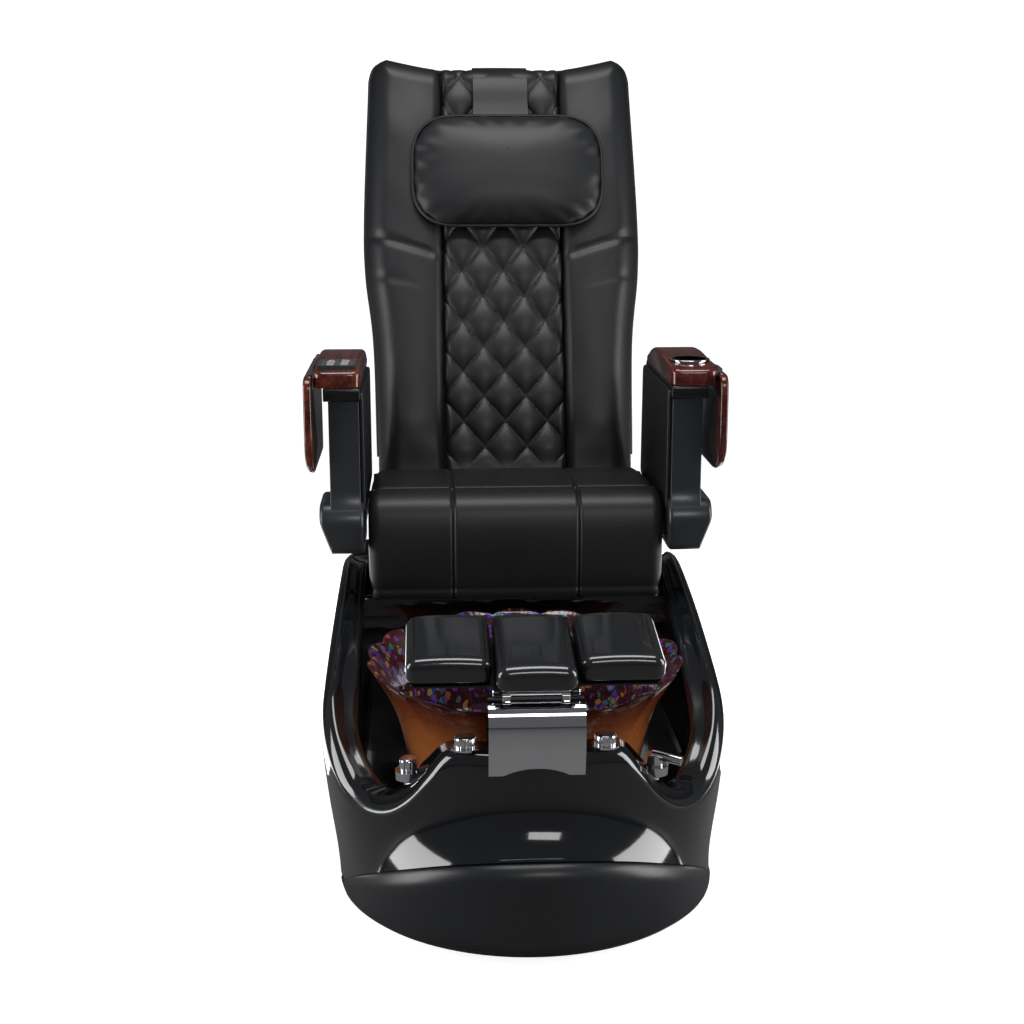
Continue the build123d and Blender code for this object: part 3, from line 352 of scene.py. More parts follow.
wood_group, gin, gout = new_group(
    "wood_figure",
    [("Stretch", "NodeSocketFloat", 1.0)],
    [("Figure", "NodeSocketFloat"), ("Pores", "NodeSocketFloat")],
)
where = node(wood_group, "ShaderNodeTexCoord")
place_grain = node(wood_group, "ShaderNodeMapping")
place_grain.inputs["Scale"].default_value = (22.0, 1.6, 16.0)
bands = node(wood_group, "ShaderNodeTexNoise", Scale=2.2, Detail=8.0, Distortion=1.4)
pores = node(wood_group, "ShaderNodeTexNoise", Scale=26.0, Detail=3.0)
link = wood_group.links.new
link(where.outputs["Object"], place_grain.inputs["Vector"])
link(place_grain.outputs["Vector"], bands.inputs["Vector"])
link(place_grain.outputs["Vector"], pores.inputs["Vector"])
link(bands.outputs["Fac"], gout.inputs["Figure"])
link(pores.outputs["Fac"], gout.inputs["Pores"])

crackle_group, gin, gout = new_group(
    "crackle_glaze",
    [("Scale", "NodeSocketFloat", 60.0)],
    [("Flecks", "NodeSocketFloat"), ("Hue", "NodeSocketFloat"), ("Edges", "NodeSocketFloat")],
)
where = node(crackle_group, "ShaderNodeTexCoord")
bend = node(crackle_group, "ShaderNodeTexNoise", Scale=9.0, Detail=2.0)
flecks = node(crackle_group, "ShaderNodeTexVoronoi", feature="F1", Scale=60.0)
edges = node(crackle_group, "ShaderNodeTexVoronoi", feature="DISTANCE_TO_EDGE", Scale=60.0)
link = crackle_group.links.new
for texture in (bend, flecks, edges):
    link(where.outputs["Object"], texture.inputs["Vector"])
for texture in (flecks, edges):
    link(gin.outputs["Scale"], texture.inputs["Scale"])
random_value = node(crackle_group, "ShaderNodeSeparateColor")
link(flecks.outputs["Color"], random_value.inputs["Color"])
link(random_value.outputs[0], gout.inputs["Hue"])
line_width = math_node(crackle_group, "LESS_THAN", edges.outputs["Distance"], 0.05)
link(line_width, gout.inputs["Edges"])
chosen = math_node(crackle_group, "ADD", random_value.outputs[1], bend.outputs["Fac"])
chosen = math_node(crackle_group, "GREATER_THAN", chosen, 1.12)
link(chosen, gout.inputs["Flecks"])


# %% The materials themselves
def material_with(name, colour, roughness, grain=(900.0, 0.15), waves=0.0, wear=0.08, tint=0.0, **sockets):
    """Principled material with the shared surface detail; tint mixes a lighter tone in by patches."""
    material = bpy.data.materials.new(name)
    material.use_nodes = True
    tree = material.node_tree
    shader = tree.nodes["Principled BSDF"]
    detail = tree.nodes.new("ShaderNodeGroup")
    detail.node_tree = surface_group
    detail.inputs["Grain size"].default_value = grain[0]
    detail.inputs["Grain"].default_value = grain[1]
    detail.inputs["Waves"].default_value = waves
    detail.inputs["Roughness"].default_value = roughness
    detail.inputs["Wear"].default_value = wear
    tree.links.new(detail.outputs["Normal"], shader.inputs["Normal"])
    tree.links.new(detail.outputs["Roughness"], shader.inputs["Roughness"])
    shader.inputs["Base Color"].default_value = (*colour, 1)
    lighter = tuple(min(1.0, c * (1 + tint) + 0.002 * tint) for c in colour)
    tone = ramp(tree, [(0.3, colour), (0.7, lighter)])
    tree.links.new(detail.outputs["Mask"], tone.inputs["Fac"])
    tree.links.new(tone.outputs["Color"], shader.inputs["Base Color"])
    for title, value in sockets.items():
        shader.inputs[title.replace("_", " ")].default_value = value
    return material, tree, shader


def plain(*args, **kwargs):
    return material_with(*args, **kwargs)[0]


vinyl = plain("black_upholstery", (0.0057, 0.0063, 0.0073), 0.48, grain=(700.0, 0.22), waves=0.05, wear=0.14,
              tint=0.5, Coat_Weight=0.18, Coat_Roughness=0.3, Specular_IOR_Level=0.45)
vinyl_shiny = plain("footrest_vinyl", (0.013, 0.014, 0.016), 0.16, grain=(800.0, 0.04), waves=0.12, wear=0.10,
                    tint=0.4, Coat_Weight=1.0, Coat_Roughness=0.06)
gloss = plain("gloss_black_moulding", (0.0065, 0.0072, 0.0085), 0.10, grain=(1200.0, 0.01), waves=0.012,
              wear=0.06, tint=0.3, Coat_Weight=0.9, Coat_Roughness=0.035, Specular_IOR_Level=0.5)
satin = plain("satin_black_moulding", (0.015, 0.016, 0.018), 0.34, grain=(1500.0, 0.06), waves=0.01,
              wear=0.10, tint=0.4, Coat_Weight=0.15, Coat_Roughness=0.3)
arm_plastic = plain("arm_plastic", (0.021, 0.024, 0.028), 0.30, grain=(1400.0, 0.05), waves=0.008, wear=0.08,
                    tint=0.4, Coat_Weight=0.25, Coat_Roughness=0.2)
bracket_black = plain("bracket_black", (0.008, 0.008, 0.009), 0.25, grain=(1400.0, 0.04), wear=0.08)
chrome = plain("chrome", (0.78, 0.78, 0.80), 0.06, grain=(300.0, 0.01), waves=0.006, wear=0.06,
               tint=0.08, Metallic=1.0)
bright_steel = plain("bright_steel", (0.55, 0.55, 0.56), 0.24, grain=(900.0, 0.08), wear=0.14, tint=0.2,
                     Metallic=1.0)
frame_steel = plain("frame_steel", (0.018, 0.019, 0.021), 0.45, grain=(500.0, 0.18), wear=0.16, tint=0.6)
rubber = plain("black_rubber", (0.012, 0.012, 0.012), 0.62, grain=(600.0, 0.25), wear=0.16, tint=0.7)
pvc = plain("pvc", (0.50, 0.50, 0.48), 0.36, grain=(900.0, 0.06), wear=0.16, tint=0.25)
case_plastic = plain("equipment_case", (0.055, 0.058, 0.06), 0.42, grain=(700.0, 0.16), wear=0.14, tint=0.4)
thread = plain("stitching", (0.03, 0.031, 0.034), 0.5, grain=(2500.0, 0.4), wear=0.1, tint=0.5)

mahogany, tree, shader = material_with("mahogany", (0.04, 0.005, 0.003), 0.2, grain=(900.0, 0.03), waves=0.01,
                                       Coat_Weight=0.8, Coat_Roughness=0.06)
figure = tree.nodes.new("ShaderNodeGroup")
figure.node_tree = wood_group
wood_tone = ramp(tree, [(0.36, (0.050, 0.0070, 0.0045)), (0.52, (0.115, 0.0150, 0.0075)),
                        (0.66, (0.215, 0.0380, 0.0130))])
tree.links.new(figure.outputs["Figure"], wood_tone.inputs["Fac"])
dark_pores = ramp(tree, [(0.38, (0.45, 0.40, 0.38)), (0.5, (1.0, 1.0, 1.0))])
tree.links.new(figure.outputs["Pores"], dark_pores.inputs["Fac"])
mix = node(tree, "ShaderNodeMix", data_type="RGBA", blend_type="MULTIPLY")
mix.inputs[0].default_value = 0.7
tree.links.new(wood_tone.outputs["Color"], mix.inputs[6])
tree.links.new(dark_pores.outputs["Color"], mix.inputs[7])
tree.links.new(mix.outputs[2], shader.inputs["Base Color"])

glass_amber, tree, shader = material_with("bowl_amber", (0.2, 0.06, 0.02), 0.12, grain=(110.0, 0.9),
                                          waves=0.4, Coat_Weight=1.0, Coat_Roughness=0.04)
crackle = tree.nodes.new("ShaderNodeGroup")
crackle.node_tree = crackle_group
crackle.inputs["Scale"].default_value = 75.0
zone = node(tree, "ShaderNodeAttribute", attribute_name="inside")
outside_tone = ramp(tree, [(0.0, (0.50, 0.17, 0.045)), (0.55, (0.42, 0.125, 0.035)),
                           (0.86, (0.26, 0.060, 0.022)), (1.0, (0.06, 0.012, 0.009))])
rise = node(tree, "ShaderNodeAttribute", attribute_name="rise")
tree.links.new(rise.outputs["Fac"], outside_tone.inputs["Fac"])
inside_tone = ramp(tree, [(0.0, (0.035, 0.006, 0.012)), (1.0, (0.075, 0.012, 0.012))])
tree.links.new(rise.outputs["Fac"], inside_tone.inputs["Fac"])
fleck_tone = ramp(tree, [(0.0, (0.02, 0.05, 0.30)), (0.3, (0.16, 0.03, 0.26)), (0.55, (0.03, 0.16, 0.12)),
                         (0.75, (0.42, 0.20, 0.05)), (1.0, (0.30, 0.05, 0.07))])
tree.links.new(crackle.outputs["Hue"], fleck_tone.inputs["Fac"])
fleck_mix = node(tree, "ShaderNodeMix", data_type="RGBA")
tree.links.new(crackle.outputs["Flecks"], fleck_mix.inputs[0])
tree.links.new(inside_tone.outputs["Color"], fleck_mix.inputs[6])
tree.links.new(fleck_tone.outputs["Color"], fleck_mix.inputs[7])
crack_mix = node(tree, "ShaderNodeMix", data_type="RGBA")
tree.links.new(crackle.outputs["Edges"], crack_mix.inputs[0])
tree.links.new(fleck_mix.outputs[2], crack_mix.inputs[6])
crack_mix.inputs[7].default_value = (0.012, 0.004, 0.006, 1)
side_mix = node(tree, "ShaderNodeMix", data_type="RGBA")
tree.links.new(zone.outputs["Fac"], side_mix.inputs[0])
tree.links.new(outside_tone.outputs["Color"], side_mix.inputs[6])
tree.links.new(crack_mix.outputs[2], side_mix.inputs[7])
tree.links.new(side_mix.outputs[2], shader.inputs["Base Color"])

panel_glass, tree, shader = material_with("panel_glass", (0.30, 0.31, 0.34), 0.14, grain=(900.0, 0.01),
                                          wear=0.05, tint=0.15, Metallic=0.6, Coat_Weight=1.0,
                                          Coat_Roughness=0.03)
print("materials", len(bpy.data.materials))

# %% [markdown]
# ## Tub and skirt
# The tub is one moulding. Its skin climbs the flanks, rolls over the rail and drops into the well. The nose
# is raised into a saddle in front of the bowl.

# %% Lines of the tub
RAIL = [(-0.70, 0.186), (-0.56, 0.190), (-0.47, 0.208), (-0.38, 0.262), (-0.25, 0.335), (-0.08, 0.405),
        (0.06, 0.440), (0.15, 0.438), (0.26, 0.402), (0.48, 0.368)]
rail_line = curve_through(RAIL, 240)
SADDLE = curve_through([(-0.05, 0.331), (0.05, 0.331), (0.115, 0.329), (0.145, 0.318), (0.172, 0.284),
                        (0.200, 0.246), (0.235, 0.213), (0.275, 0.195), (0.345, 0.188)], 120)
FLANK = curve_through([(0.0, 0.325), (0.16, 0.349), (0.29, 0.354), (0.48, 0.328)], 80)
HULL_HALF = 0.354
NOSE_DEPTH = 0.370
SKIRT_DEPTH = 0.430
SEAM_START = -0.400
SEAM_SLOPE = 0.567
SHOULDER_RADIUS = 0.022
SHELF_Z = 0.184
SKIN_THICKNESS = 0.0035
FLARE_HEIGHT = 0.110
FLARE_REACH = 0.043
FLARE_WIDENING = 0.022
NOSE_Y = -0.290
BOWL_Y = -0.330
WELL_REAR = 0.050


def rail_z(y):
    return np.interp(y, rail_line[:, 0], rail_line[:, 1])


def flank_x(z):
    return np.interp(z, FLANK[:, 0], FLANK[:, 1])


def saddle_z(x, y):
    """Deck height: the rail's line, with the saddle raised across the nose."""
    across = np.interp(np.abs(x), SADDLE[:, 0], SADDLE[:, 1])
    fade = 1 - smoothstep(y, -0.545, -0.435)
    raised = 0.190 + (across - 0.190) * fade
    low = rail_z(y)
    sharpness = 0.012
    return sharpness * np.log(np.exp(raised / sharpness) + np.exp(low / sharpness))


def outer_half(width, depth):
    """Plan of the outside from the nose's middle to the rear middle, x positive."""
    turn = np.linspace(0, math.pi / 2, 64)
    nose = np.stack([width * np.sin(turn), NOSE_Y - depth * np.cos(turn)], axis=1)
    side_y = np.linspace(NOSE_Y, 0.35, 44)[1:]
    side = np.stack([np.full(len(side_y), width), side_y], axis=1)
    turn = np.linspace(0, math.pi / 2, 14)[1:]
    corner = np.stack([width - 0.11 + 0.11 * np.cos(turn), 0.35 + 0.11 * np.sin(turn)], axis=1)
    rear_x = np.linspace(width - 0.11, 0, 12)[1:]
    rear = np.stack([rear_x, np.full(len(rear_x), 0.46)], axis=1)
    return np.vstack([nose, side, corner, rear])


def inner_half(grow):
    """Plan of the inner wall: round the bowl in front, straight beside the seat, open behind."""
    turn = np.linspace(0, math.pi / 2, 64)
    radius = 0.266 + 0.022 * smoothstep(turn, 0.75, 1.57) + grow
    nose = np.stack([radius * np.sin(turn), BOWL_Y - radius * np.cos(turn)], axis=1)
    side_y = np.linspace(BOWL_Y, 0.40, 44)[1:]
    side = np.stack([np.full(len(side_y), 0.288 + grow), side_y], axis=1)
    turn = np.linspace(0, math.pi / 2, 14)[1:]
    corner = np.stack([0.248 + (0.04 + grow) * np.cos(turn), 0.40 + (0.04 + grow) * np.sin(turn)], axis=1)
    rear_x = np.linspace(0.248, 0, 12)[1:]
    rear = np.stack([rear_x, np.full(len(rear_x), 0.44 + grow)], axis=1)
    return np.vstack([nose, side, corner, rear])


def both_halves(half):
    """The half and its mirror image as one closed, anticlockwise loop."""
    other = half[1:-1][::-1] * [-1, 1]
    return np.vstack([half, other])


# %% Skin of the tub
wide = both_halves(outer_half(HULL_HALF, NOSE_DEPTH))
ridge = saddle_z(wide[:, 0], wide[:, 1])
flare = np.clip((NOSE_Y - wide[:, 1]) / NOSE_DEPTH, 0, 1)
flare_reach = FLARE_REACH * flare
seam_y = np.where(wide[:, 1] < NOSE_Y, wide[:, 1] - flare_reach, wide[:, 1])
foot = np.maximum(0.006, (SEAM_START - seam_y) * SEAM_SLOPE + 0.001)
rings = []


def flared(ring, height):
    """Sweeps the nose outwards in a hollow curve as it nears its lower edge."""
    near = np.clip(1 - (height - foot) / FLARE_HEIGHT, 0, 1) ** 3.0
    ring = ring.copy()
    ring[:, 1] -= near * flare_reach
    ring[:, 0] *= 1 + near * FLARE_WIDENING * np.clip(flare * 3, 0, 1)
    return ring


def flank_ring(share, drop=0.0, inset=0.0):
    """The outside at a share of the way from its lower edge to its shoulder."""
    height = foot + (ridge - SHOULDER_RADIUS - foot) * share - drop
    width = flank_x(height)
    ring = wide.copy()
    ring[:, 0] *= (width - inset) / HULL_HALF
    forward = ring[:, 1] < NOSE_Y
    ring[forward, 1] = NOSE_Y + (ring[forward, 1] - NOSE_Y) * (1 - inset / NOSE_DEPTH)
    return np.column_stack([flared(ring, height), height])


rings.append(flank_ring(0.0, -0.004, 0.010))
rings.append(flank_ring(0.0, -0.001, 0.003))
for share in (0.012, 0.03, 0.055, 0.09, 0.13, 0.18, 0.23, 0.28, 0.34, 0.46, 0.58, 0.70, 0.80, 0.88, 0.94,
              1.0):
    rings.append(flank_ring(share))
shoulder = rings[-1].copy()
inner_edge = both_halves(inner_half(0.012))
deck_width = np.linalg.norm(shoulder[:, :2] - inner_edge, axis=1)
radius = np.minimum(SHOULDER_RADIUS, deck_width * 0.4)
towards = (inner_edge - shoulder[:, :2]) / deck_width[:, None]
for turn in np.radians([15, 30, 45, 60, 75, 90]):
    plan = shoulder[:, :2] + towards * (radius * (1 - np.cos(turn)))[:, None]
    top = saddle_z(plan[:, 0], plan[:, 1])
    rings.append(np.column_stack([plan, np.maximum(top, ridge) - SHOULDER_RADIUS * (1 - np.sin(turn))]))
start = rings[-1][:, :2]
for share in (0.12, 0.25, 0.38, 0.5, 0.62, 0.75, 0.88, 1.0):
    plan = start + (inner_edge - start) * share
    dish = 0.009 * smoothstep(share, 0, 1) * smoothstep(plan[:, 1], -0.50, -0.30)
    height = saddle_z(plan[:, 0], plan[:, 1])
    height = height + (np.maximum(height, ridge) - height) * (1 - smoothstep(share, 0, 0.5))
    rings.append(np.column_stack([plan, height - dish]))
lip = rings[-1][:, 2].copy()
inner_wall = both_halves(inner_half(0.0))
for turn in np.radians([25, 50, 70, 90]):
    plan = inner_edge + (inner_wall - inner_edge) * math.sin(turn)
    rings.append(np.column_stack([plan, lip - 0.012 * (1 - math.cos(turn))]))
shelf = np.full(len(lip), SHELF_Z)
for share in (0.2, 0.4, 0.6, 0.8, 0.93):
    rings.append(np.column_stack([inner_wall, lip - 0.012 + (shelf - lip + 0.012) * share]))
for turn in np.radians([45, 90]):
    plan = both_halves(inner_half(-0.010 * (1 - math.cos(turn))))
    rings.append(np.column_stack([plan, shelf + 0.008 * (1 - math.sin(turn))]))


def open_sheet(name, rings, wrap=True):
    rings = np.asarray(rings, float)
    mesh = bpy.data.meshes.new(name)
    mesh.from_pydata(rings.reshape(-1, 3).tolist(), [], grid_faces(rings.shape[0], rings.shape[1], wrap))
    obj = bpy.data.objects.new(name, mesh)
    bpy.context.scene.collection.objects.link(obj)
    return obj


skin = open_sheet("skin", rings)
plan = both_halves(inner_half(-0.008))
plan[:, 1] = np.minimum(plan[:, 1], WELL_REAR)
bearing = np.arctan2(plan[:, 0], -(plan[:, 1] - BOWL_Y))
hole = np.column_stack([0.11 * np.sin(bearing), BOWL_Y - 0.11 * np.cos(bearing)])
shelf_rings = [np.column_stack([plan + (hole - plan) * share, shelf]) for share in (0, 0.5, 1)]
shelf_sheet = open_sheet("shelf", shelf_rings)
wall_x = np.linspace(-0.289, 0.289, 24)
wall_profile = [(0.050, 0.180), (0.050, 0.300), (0.050, 0.372), (0.053, 0.379), (0.060, 0.382),
                (0.066, 0.382)]
wall_sheet = open_sheet("wall", [[(x, y, z) for x in wall_x] for y, z in wall_profile], wrap=False)
for sheet in (skin, shelf_sheet, wall_sheet):
    apply_modifier(sheet, "SOLIDIFY", thickness=SKIN_THICKNESS, offset=-1.0)
tub = join("tub_moulding", [skin, shelf_sheet, wall_sheet])
finish_piece(tub, "base", gloss, ["tub_shell"])
print("tub", len(tub.data.polygons))

# %% Skirt below the slanted seam
sweep_angle = np.radians(np.linspace(-75.0, 75.0, 151))
rows = []
edge_q = FLARE_REACH / (SKIRT_DEPTH - NOSE_DEPTH)
for turn in sweep_angle:
    hull_plan = np.array([HULL_HALF * math.sin(turn), NOSE_Y - NOSE_DEPTH * math.cos(turn)])
    skirt_plan = np.array([HULL_HALF * math.sin(turn), NOSE_Y - SKIRT_DEPTH * math.cos(turn)])
    out = np.array([math.sin(turn), -math.cos(turn)])
    crest = (SEAM_START - (hull_plan[1] - FLARE_REACH * math.cos(turn))) * SEAM_SLOPE
    fade = float(np.clip(crest / 0.12, 0, 1))
    widening = 1 + FLARE_WIDENING * min(1.0, 3 * math.cos(turn))
    width = flank_x(max(crest, 0.0)) / HULL_HALF * widening
    control = []
    for q, z in ((-0.30, crest + 0.004 * fade), (0.25, crest + 0.004 * fade), (edge_q - 0.10, crest - 0.0005),
                 (edge_q + 0.03, crest - 0.003 * fade), (0.92, crest - 0.014 * fade), (0.985, crest * 0.80),
                 (1.0, crest * 0.55), (0.93, crest * 0.2), (0.5, 0.007)):
        plan = hull_plan + (skirt_plan - hull_plan) * q
        if q < 0:
            plan = hull_plan + out * q * (SKIRT_DEPTH - NOSE_DEPTH)
        control.append((plan[0] * width, plan[1], max(z, 0.0062)))
    rows.append(curve_through(control, 40))
skirt = open_sheet("belly", np.array(rows).transpose(1, 0, 2)[::-1], wrap=False)
apply_modifier(skirt, "SOLIDIFY", thickness=SKIN_THICKNESS, offset=-1.0)
skirt = join("front_belly", [skirt])
finish_piece(skirt, "base", satin, ["front_skirt"])

# %% [markdown]
# ## Foot bowl
# A cast glass bowl. Its wall is fluted into petals that end in a scalloped rim, and the inside has a crackle
# glaze.

# %% Bowl
PETALS = 18
RIM_Z = 0.388
BOWL_FOOT_Z = 0.190
BOWL_FLOOR_Z = 0.199
WALL_TOP_Z = RIM_Z - 0.002


def bowl_wall_radius(z):
    t = np.clip((z - BOWL_FOOT_Z) / (RIM_Z - BOWL_FOOT_Z), 0, 1)
    return 0.200 + 0.072 * (0.62 * t + 0.38 * t**3)


turn = np.linspace(0, 2 * math.pi, PETALS * 12, endpoint=False)
flute = np.abs(np.cos(turn * PETALS / 2)) ** 0.75
oval = 1 + 0.055 * np.clip(np.cos(turn), 0, 1)
oval -= 0.045 * np.exp(-((np.angle(np.exp(1j * turn)) / 0.36) ** 4))


def oval_at(share):
    """How far the wall leans out towards the nose at a share of its height."""
    return 1 + (oval - 1) * smoothstep(share, 0.45, 1.0)


def wall_ring(radius, z, share):
    """One ring of the wall at a share of its height; near the rim it is oval and scalloped."""
    wave = (0.008 * (flute - 1) - 0.010 * np.clip(np.cos(turn), 0, 1) ** 2) * smoothstep(share, 0.6, 1.0)
    across = radius * np.sin(turn)
    along = BOWL_Y - radius * oval_at(share) * np.cos(turn)
    return np.column_stack([across, along, z + wave])


def flat_ring(radius, z):
    return np.column_stack([radius * np.sin(turn), BOWL_Y - radius * np.cos(turn), np.full(len(turn), z)])


bowl_rings = []
inside = []
rise = []
for share in np.linspace(0, 1, 22):
    z = BOWL_FOOT_Z + (WALL_TOP_Z - BOWL_FOOT_Z) * share
    r = bowl_wall_radius(z) - 0.006 * share + 0.009 * flute * smoothstep(share, 0.45, 1.0)
    bowl_rings.append(wall_ring(r, z, share))
    inside.append(0.0)
    rise.append(share)
last = bowl_rings[-1]
direction = np.column_stack([np.sin(turn), -np.cos(turn), np.zeros(len(turn))])
for back, up in ((0.0015, 0.0018), (0.004, 0.0026), (0.0065, 0.0018), (0.008, 0.0)):
    bowl_rings.append(last - direction * back + [0, 0, up])
    inside.append(0.0 if back < 0.004 else 1.0)
    rise.append(1.0)
for share in np.linspace(0.98, 0, 26):
    z = BOWL_FLOOR_Z + (WALL_TOP_Z - BOWL_FLOOR_Z) * share**0.9
    r = bowl_wall_radius(z) - 0.014 + 0.006 * flute * smoothstep(share, 0.45, 1.0)
    r = r - 0.03 * (1 - smoothstep(share, -0.12, 0.14))
    bowl_rings.append(wall_ring(r, z, share))
    inside.append(1.0)
    rise.append(share)
for r in (0.14, 0.10, 0.06, 0.034, 0.025):
    bowl_rings.append(flat_ring(r, 0.1985))
    inside.append(1.0)
    rise.append(0.0)
for r in (0.025, 0.12, 0.19):
    bowl_rings.append(flat_ring(r, 0.1902))
    inside.append(0.0)
    rise.append(0.0)
count = len(bowl_rings)
bowl_mesh_faces = grid_faces(count, len(turn), wrap=True)
first = np.arange(len(turn))
bowl_mesh_faces += [(int((count - 1) * len(turn) + j), int((count - 1) * len(turn) + (j + 1) % len(turn)),
                     int((j + 1) % len(turn)), int(j)) for j in first]
bowl = make_object("petal_bowl", np.vstack(bowl_rings), bowl_mesh_faces, sharp=60)
for title, values in (("inside", inside), ("rise", rise)):
    attribute = bowl.data.attributes.new(title, "FLOAT", "POINT")
    attribute.data.foreach_set("value", np.repeat(values, len(turn)).astype(np.float32))
finish_piece(bowl, "base", glass_amber, ["foot_bowl"])
print("bowl", len(bowl.data.vertices), "points")

# %% [markdown]
# ## Seat
# A front bolster that wraps the edge and ends in a hem, and the cushion behind it. Two sewn seams run
# through both.

# %% Bolster and cushion
SEAT_HALF = 0.276
SEAT_SEAMS = (-0.118, 0.118)


def seat_inset(x, radius=0.026):
    groove = sum(0.0045 * math.exp(-((x - seam) / 0.0035) ** 2) for seam in SEAT_SEAMS)
    return float(end_round(x, -SEAT_HALF, SEAT_HALF, radius)) + groove


def seat_columns(count=150):
    values = set(np.round(clustered(-SEAT_HALF, SEAT_HALF, count), 5).tolist())
    for seam in SEAT_SEAMS:
        values |= set(np.round(seam + np.linspace(-0.01, 0.01, 13), 5).tolist())
    return sorted(values)


def on_side(x, y, z):
    return (x, y, z)


front_line = curve_through([(0.0195, 0.606), (-0.004, 0.610), (-0.040, 0.609), (-0.068, 0.592),
                            (-0.081, 0.560), (-0.085, 0.515), (-0.083, 0.462), (-0.079, 0.436)], 46)
hem = np.array([(-0.0775, 0.4325), (-0.079, 0.429), (-0.077, 0.416), (-0.073, 0.411), (-0.066, 0.4115),
                (-0.060, 0.418)])
back_line = np.array([(-0.041, 0.421), (-0.041, 0.441), (0.0195, 0.441), (0.0195, 0.50), (0.0195, 0.56)])
roll_section = np.vstack([front_line, hem, back_line])
seat_roll = sweep_across("seat_bolster", roll_section, seat_columns(),
                         lambda x: min(seat_inset(x, 0.022), 0.022), on_side)
finish_piece(seat_roll, "seat", vinyl, ["seat_front_roll"])

cushion_section = np.vstack([
    curve_through([(0.0200, 0.600), (0.030, 0.6075), (0.080, 0.6085), (0.16, 0.604), (0.24, 0.595),
                   (0.285, 0.5885), (0.2955, 0.579)], 40),
    np.array([(0.289, 0.565), (0.2885, 0.548), (0.291, 0.530), (0.2985, 0.512), (0.300, 0.498),
              (0.300, 0.460), (0.292, 0.452), (0.285, 0.439), (0.03, 0.439), (0.0202, 0.450), (0.0202, 0.52),
              (0.0202, 0.57)]),
])
cushion = sweep_across("seat_cushion_cover", cushion_section, seat_columns(),
                       lambda x: min(seat_inset(x), 0.024), on_side)
finish_piece(cushion, "seat", vinyl, ["seat_cushion"])
print("seat columns", len(seat_columns()))

# %% [markdown]
# ## Backrest
# Its own axes are x across, v up the back from the crease, and w out of its face. The lower end curls round
# the hinge so that it stays clear of the seat at every angle.

# %% Axes and outline of the back
LEAN = math.radians(19.66)
CREASE = np.array([0.0, 0.3003, 0.580])
UP = np.array([0.0, math.sin(LEAN), math.cos(LEAN)])
OUT = np.array([0.0, -math.cos(LEAN), math.sin(LEAN)])
HINGE_V = -0.006
HINGE_W = -0.066
side_line = curve_through([(0.040, 0.268), (0.280, 0.274), (0.430, 0.290), (0.560, 0.292), (0.820, 0.282),
                           (0.870, 0.279), (0.896, 0.268), (0.908, 0.245)], 160)
crest_line = curve_through([(0.0, 0.882), (0.08, 0.883), (0.150, 0.888), (0.205, 0.898), (0.245, 0.908)], 80)


def back_point(x, v, w):
    """A point of the back in the frame; below the hinge line the face curls under."""
    if v < HINGE_V:
        angle = (HINGE_V - v) / -HINGE_W
        reach = -HINGE_W + w
        v = HINGE_V - reach * math.sin(angle)
        w = HINGE_W + reach * math.cos(angle)
    place = CREASE + UP * v + OUT * w
    return (x, place[1], place[2])


def half_width(v):
    return np.interp(v, side_line[:, 0], side_line[:, 1])


def crest_v(x):
    return np.interp(abs(x), crest_line[:, 0], crest_line[:, 1])


outline_x = np.concatenate([side_line[:, 1], crest_line[::-1, 0]])
outline_v = np.concatenate([side_line[:, 0], crest_line[::-1, 1]])
outline = even(np.stack([outline_x, outline_v], axis=1), 420)


def rim_distance(x, v):
    """Distance to the outline of the back, for arrays of points."""
    x = np.abs(x)
    low = np.minimum(v, 0.04)
    flat = np.stack([x.ravel(), np.maximum(v, 0.04).ravel()], axis=1)
    best = np.full(len(flat), 9.0)
    for a, b in zip(outline[:-1], outline[1:]):
        edge = b - a
        t = np.clip(((flat - a) @ edge) / (edge @ edge), 0, 1)
        best = np.minimum(best, np.linalg.norm(flat - a - t[:, None] * edge, axis=1))
    return best.reshape(x.shape)


def quarter(d, radius, depth=None):
    """How far a face falls away at a distance d from its rim."""
    depth = radius if depth is None else depth
    t = np.clip(1 - d / radius, 0, 1)
    return depth * (1 - np.sqrt(np.maximum(1 - t * t, 0)))


def crumple(x, v, seed, size=0.09):
    """Slow random swelling, as in stuffed covers."""
    rng = np.random.default_rng(seed)
    total = np.zeros_like(x)
    for k in range(7):
        direction = rng.uniform(0, math.pi)
        wave = size * rng.uniform(0.6, 1.8)
        phase = rng.uniform(0, 2 * math.pi)
        total += np.sin((x * math.cos(direction) + v * math.sin(direction)) * 2 * math.pi / wave + phase)
    return total / 7


def back_plan(s_values, t_values, x_low, x_high, v_low):
    """Grid of (x, v) that follows the side line and the crest exactly."""
    x = np.zeros((len(t_values), len(s_values)))
    v = np.zeros_like(x)
    for i, t in enumerate(t_values):
        for j, s in enumerate(s_values):
            vv = v_low + t * (0.895 - v_low)
            for _ in range(4):
                left = x_low(vv)
                xx = left + s * (x_high(vv) - left)
                vv = v_low + t * (crest_v(xx) - v_low)
            x[i, j] = xx
            v[i, j] = vv
    return x, v


def pad_from_grid(name, x, v, face, base, sharp=60):
    """A closed pad: a shaped face over a flat back, both on the same grid."""
    rows, columns = x.shape
    top = [back_point(x[i, j], v[i, j], face[i, j]) for i in range(rows) for j in range(columns)]
    low = [back_point(x[i, j], v[i, j], base) for i in range(rows) for j in range(columns)]
    faces = grid_faces(rows, columns) + [f[::-1] for f in grid_faces(rows, columns, start=rows * columns)]
    shift = rows * columns
    border = [j for j in range(columns)]
    border += [i * columns + columns - 1 for i in range(1, rows)]
    border += [(rows - 1) * columns + j for j in range(columns - 2, -1, -1)]
    border += [i * columns for i in range(rows - 2, 0, -1)]
    for a, b in zip(border, border[1:] + border[:1]):
        faces.append((a, b, b + shift, a + shift))
    return make_object(name, top + low, faces, sharp)


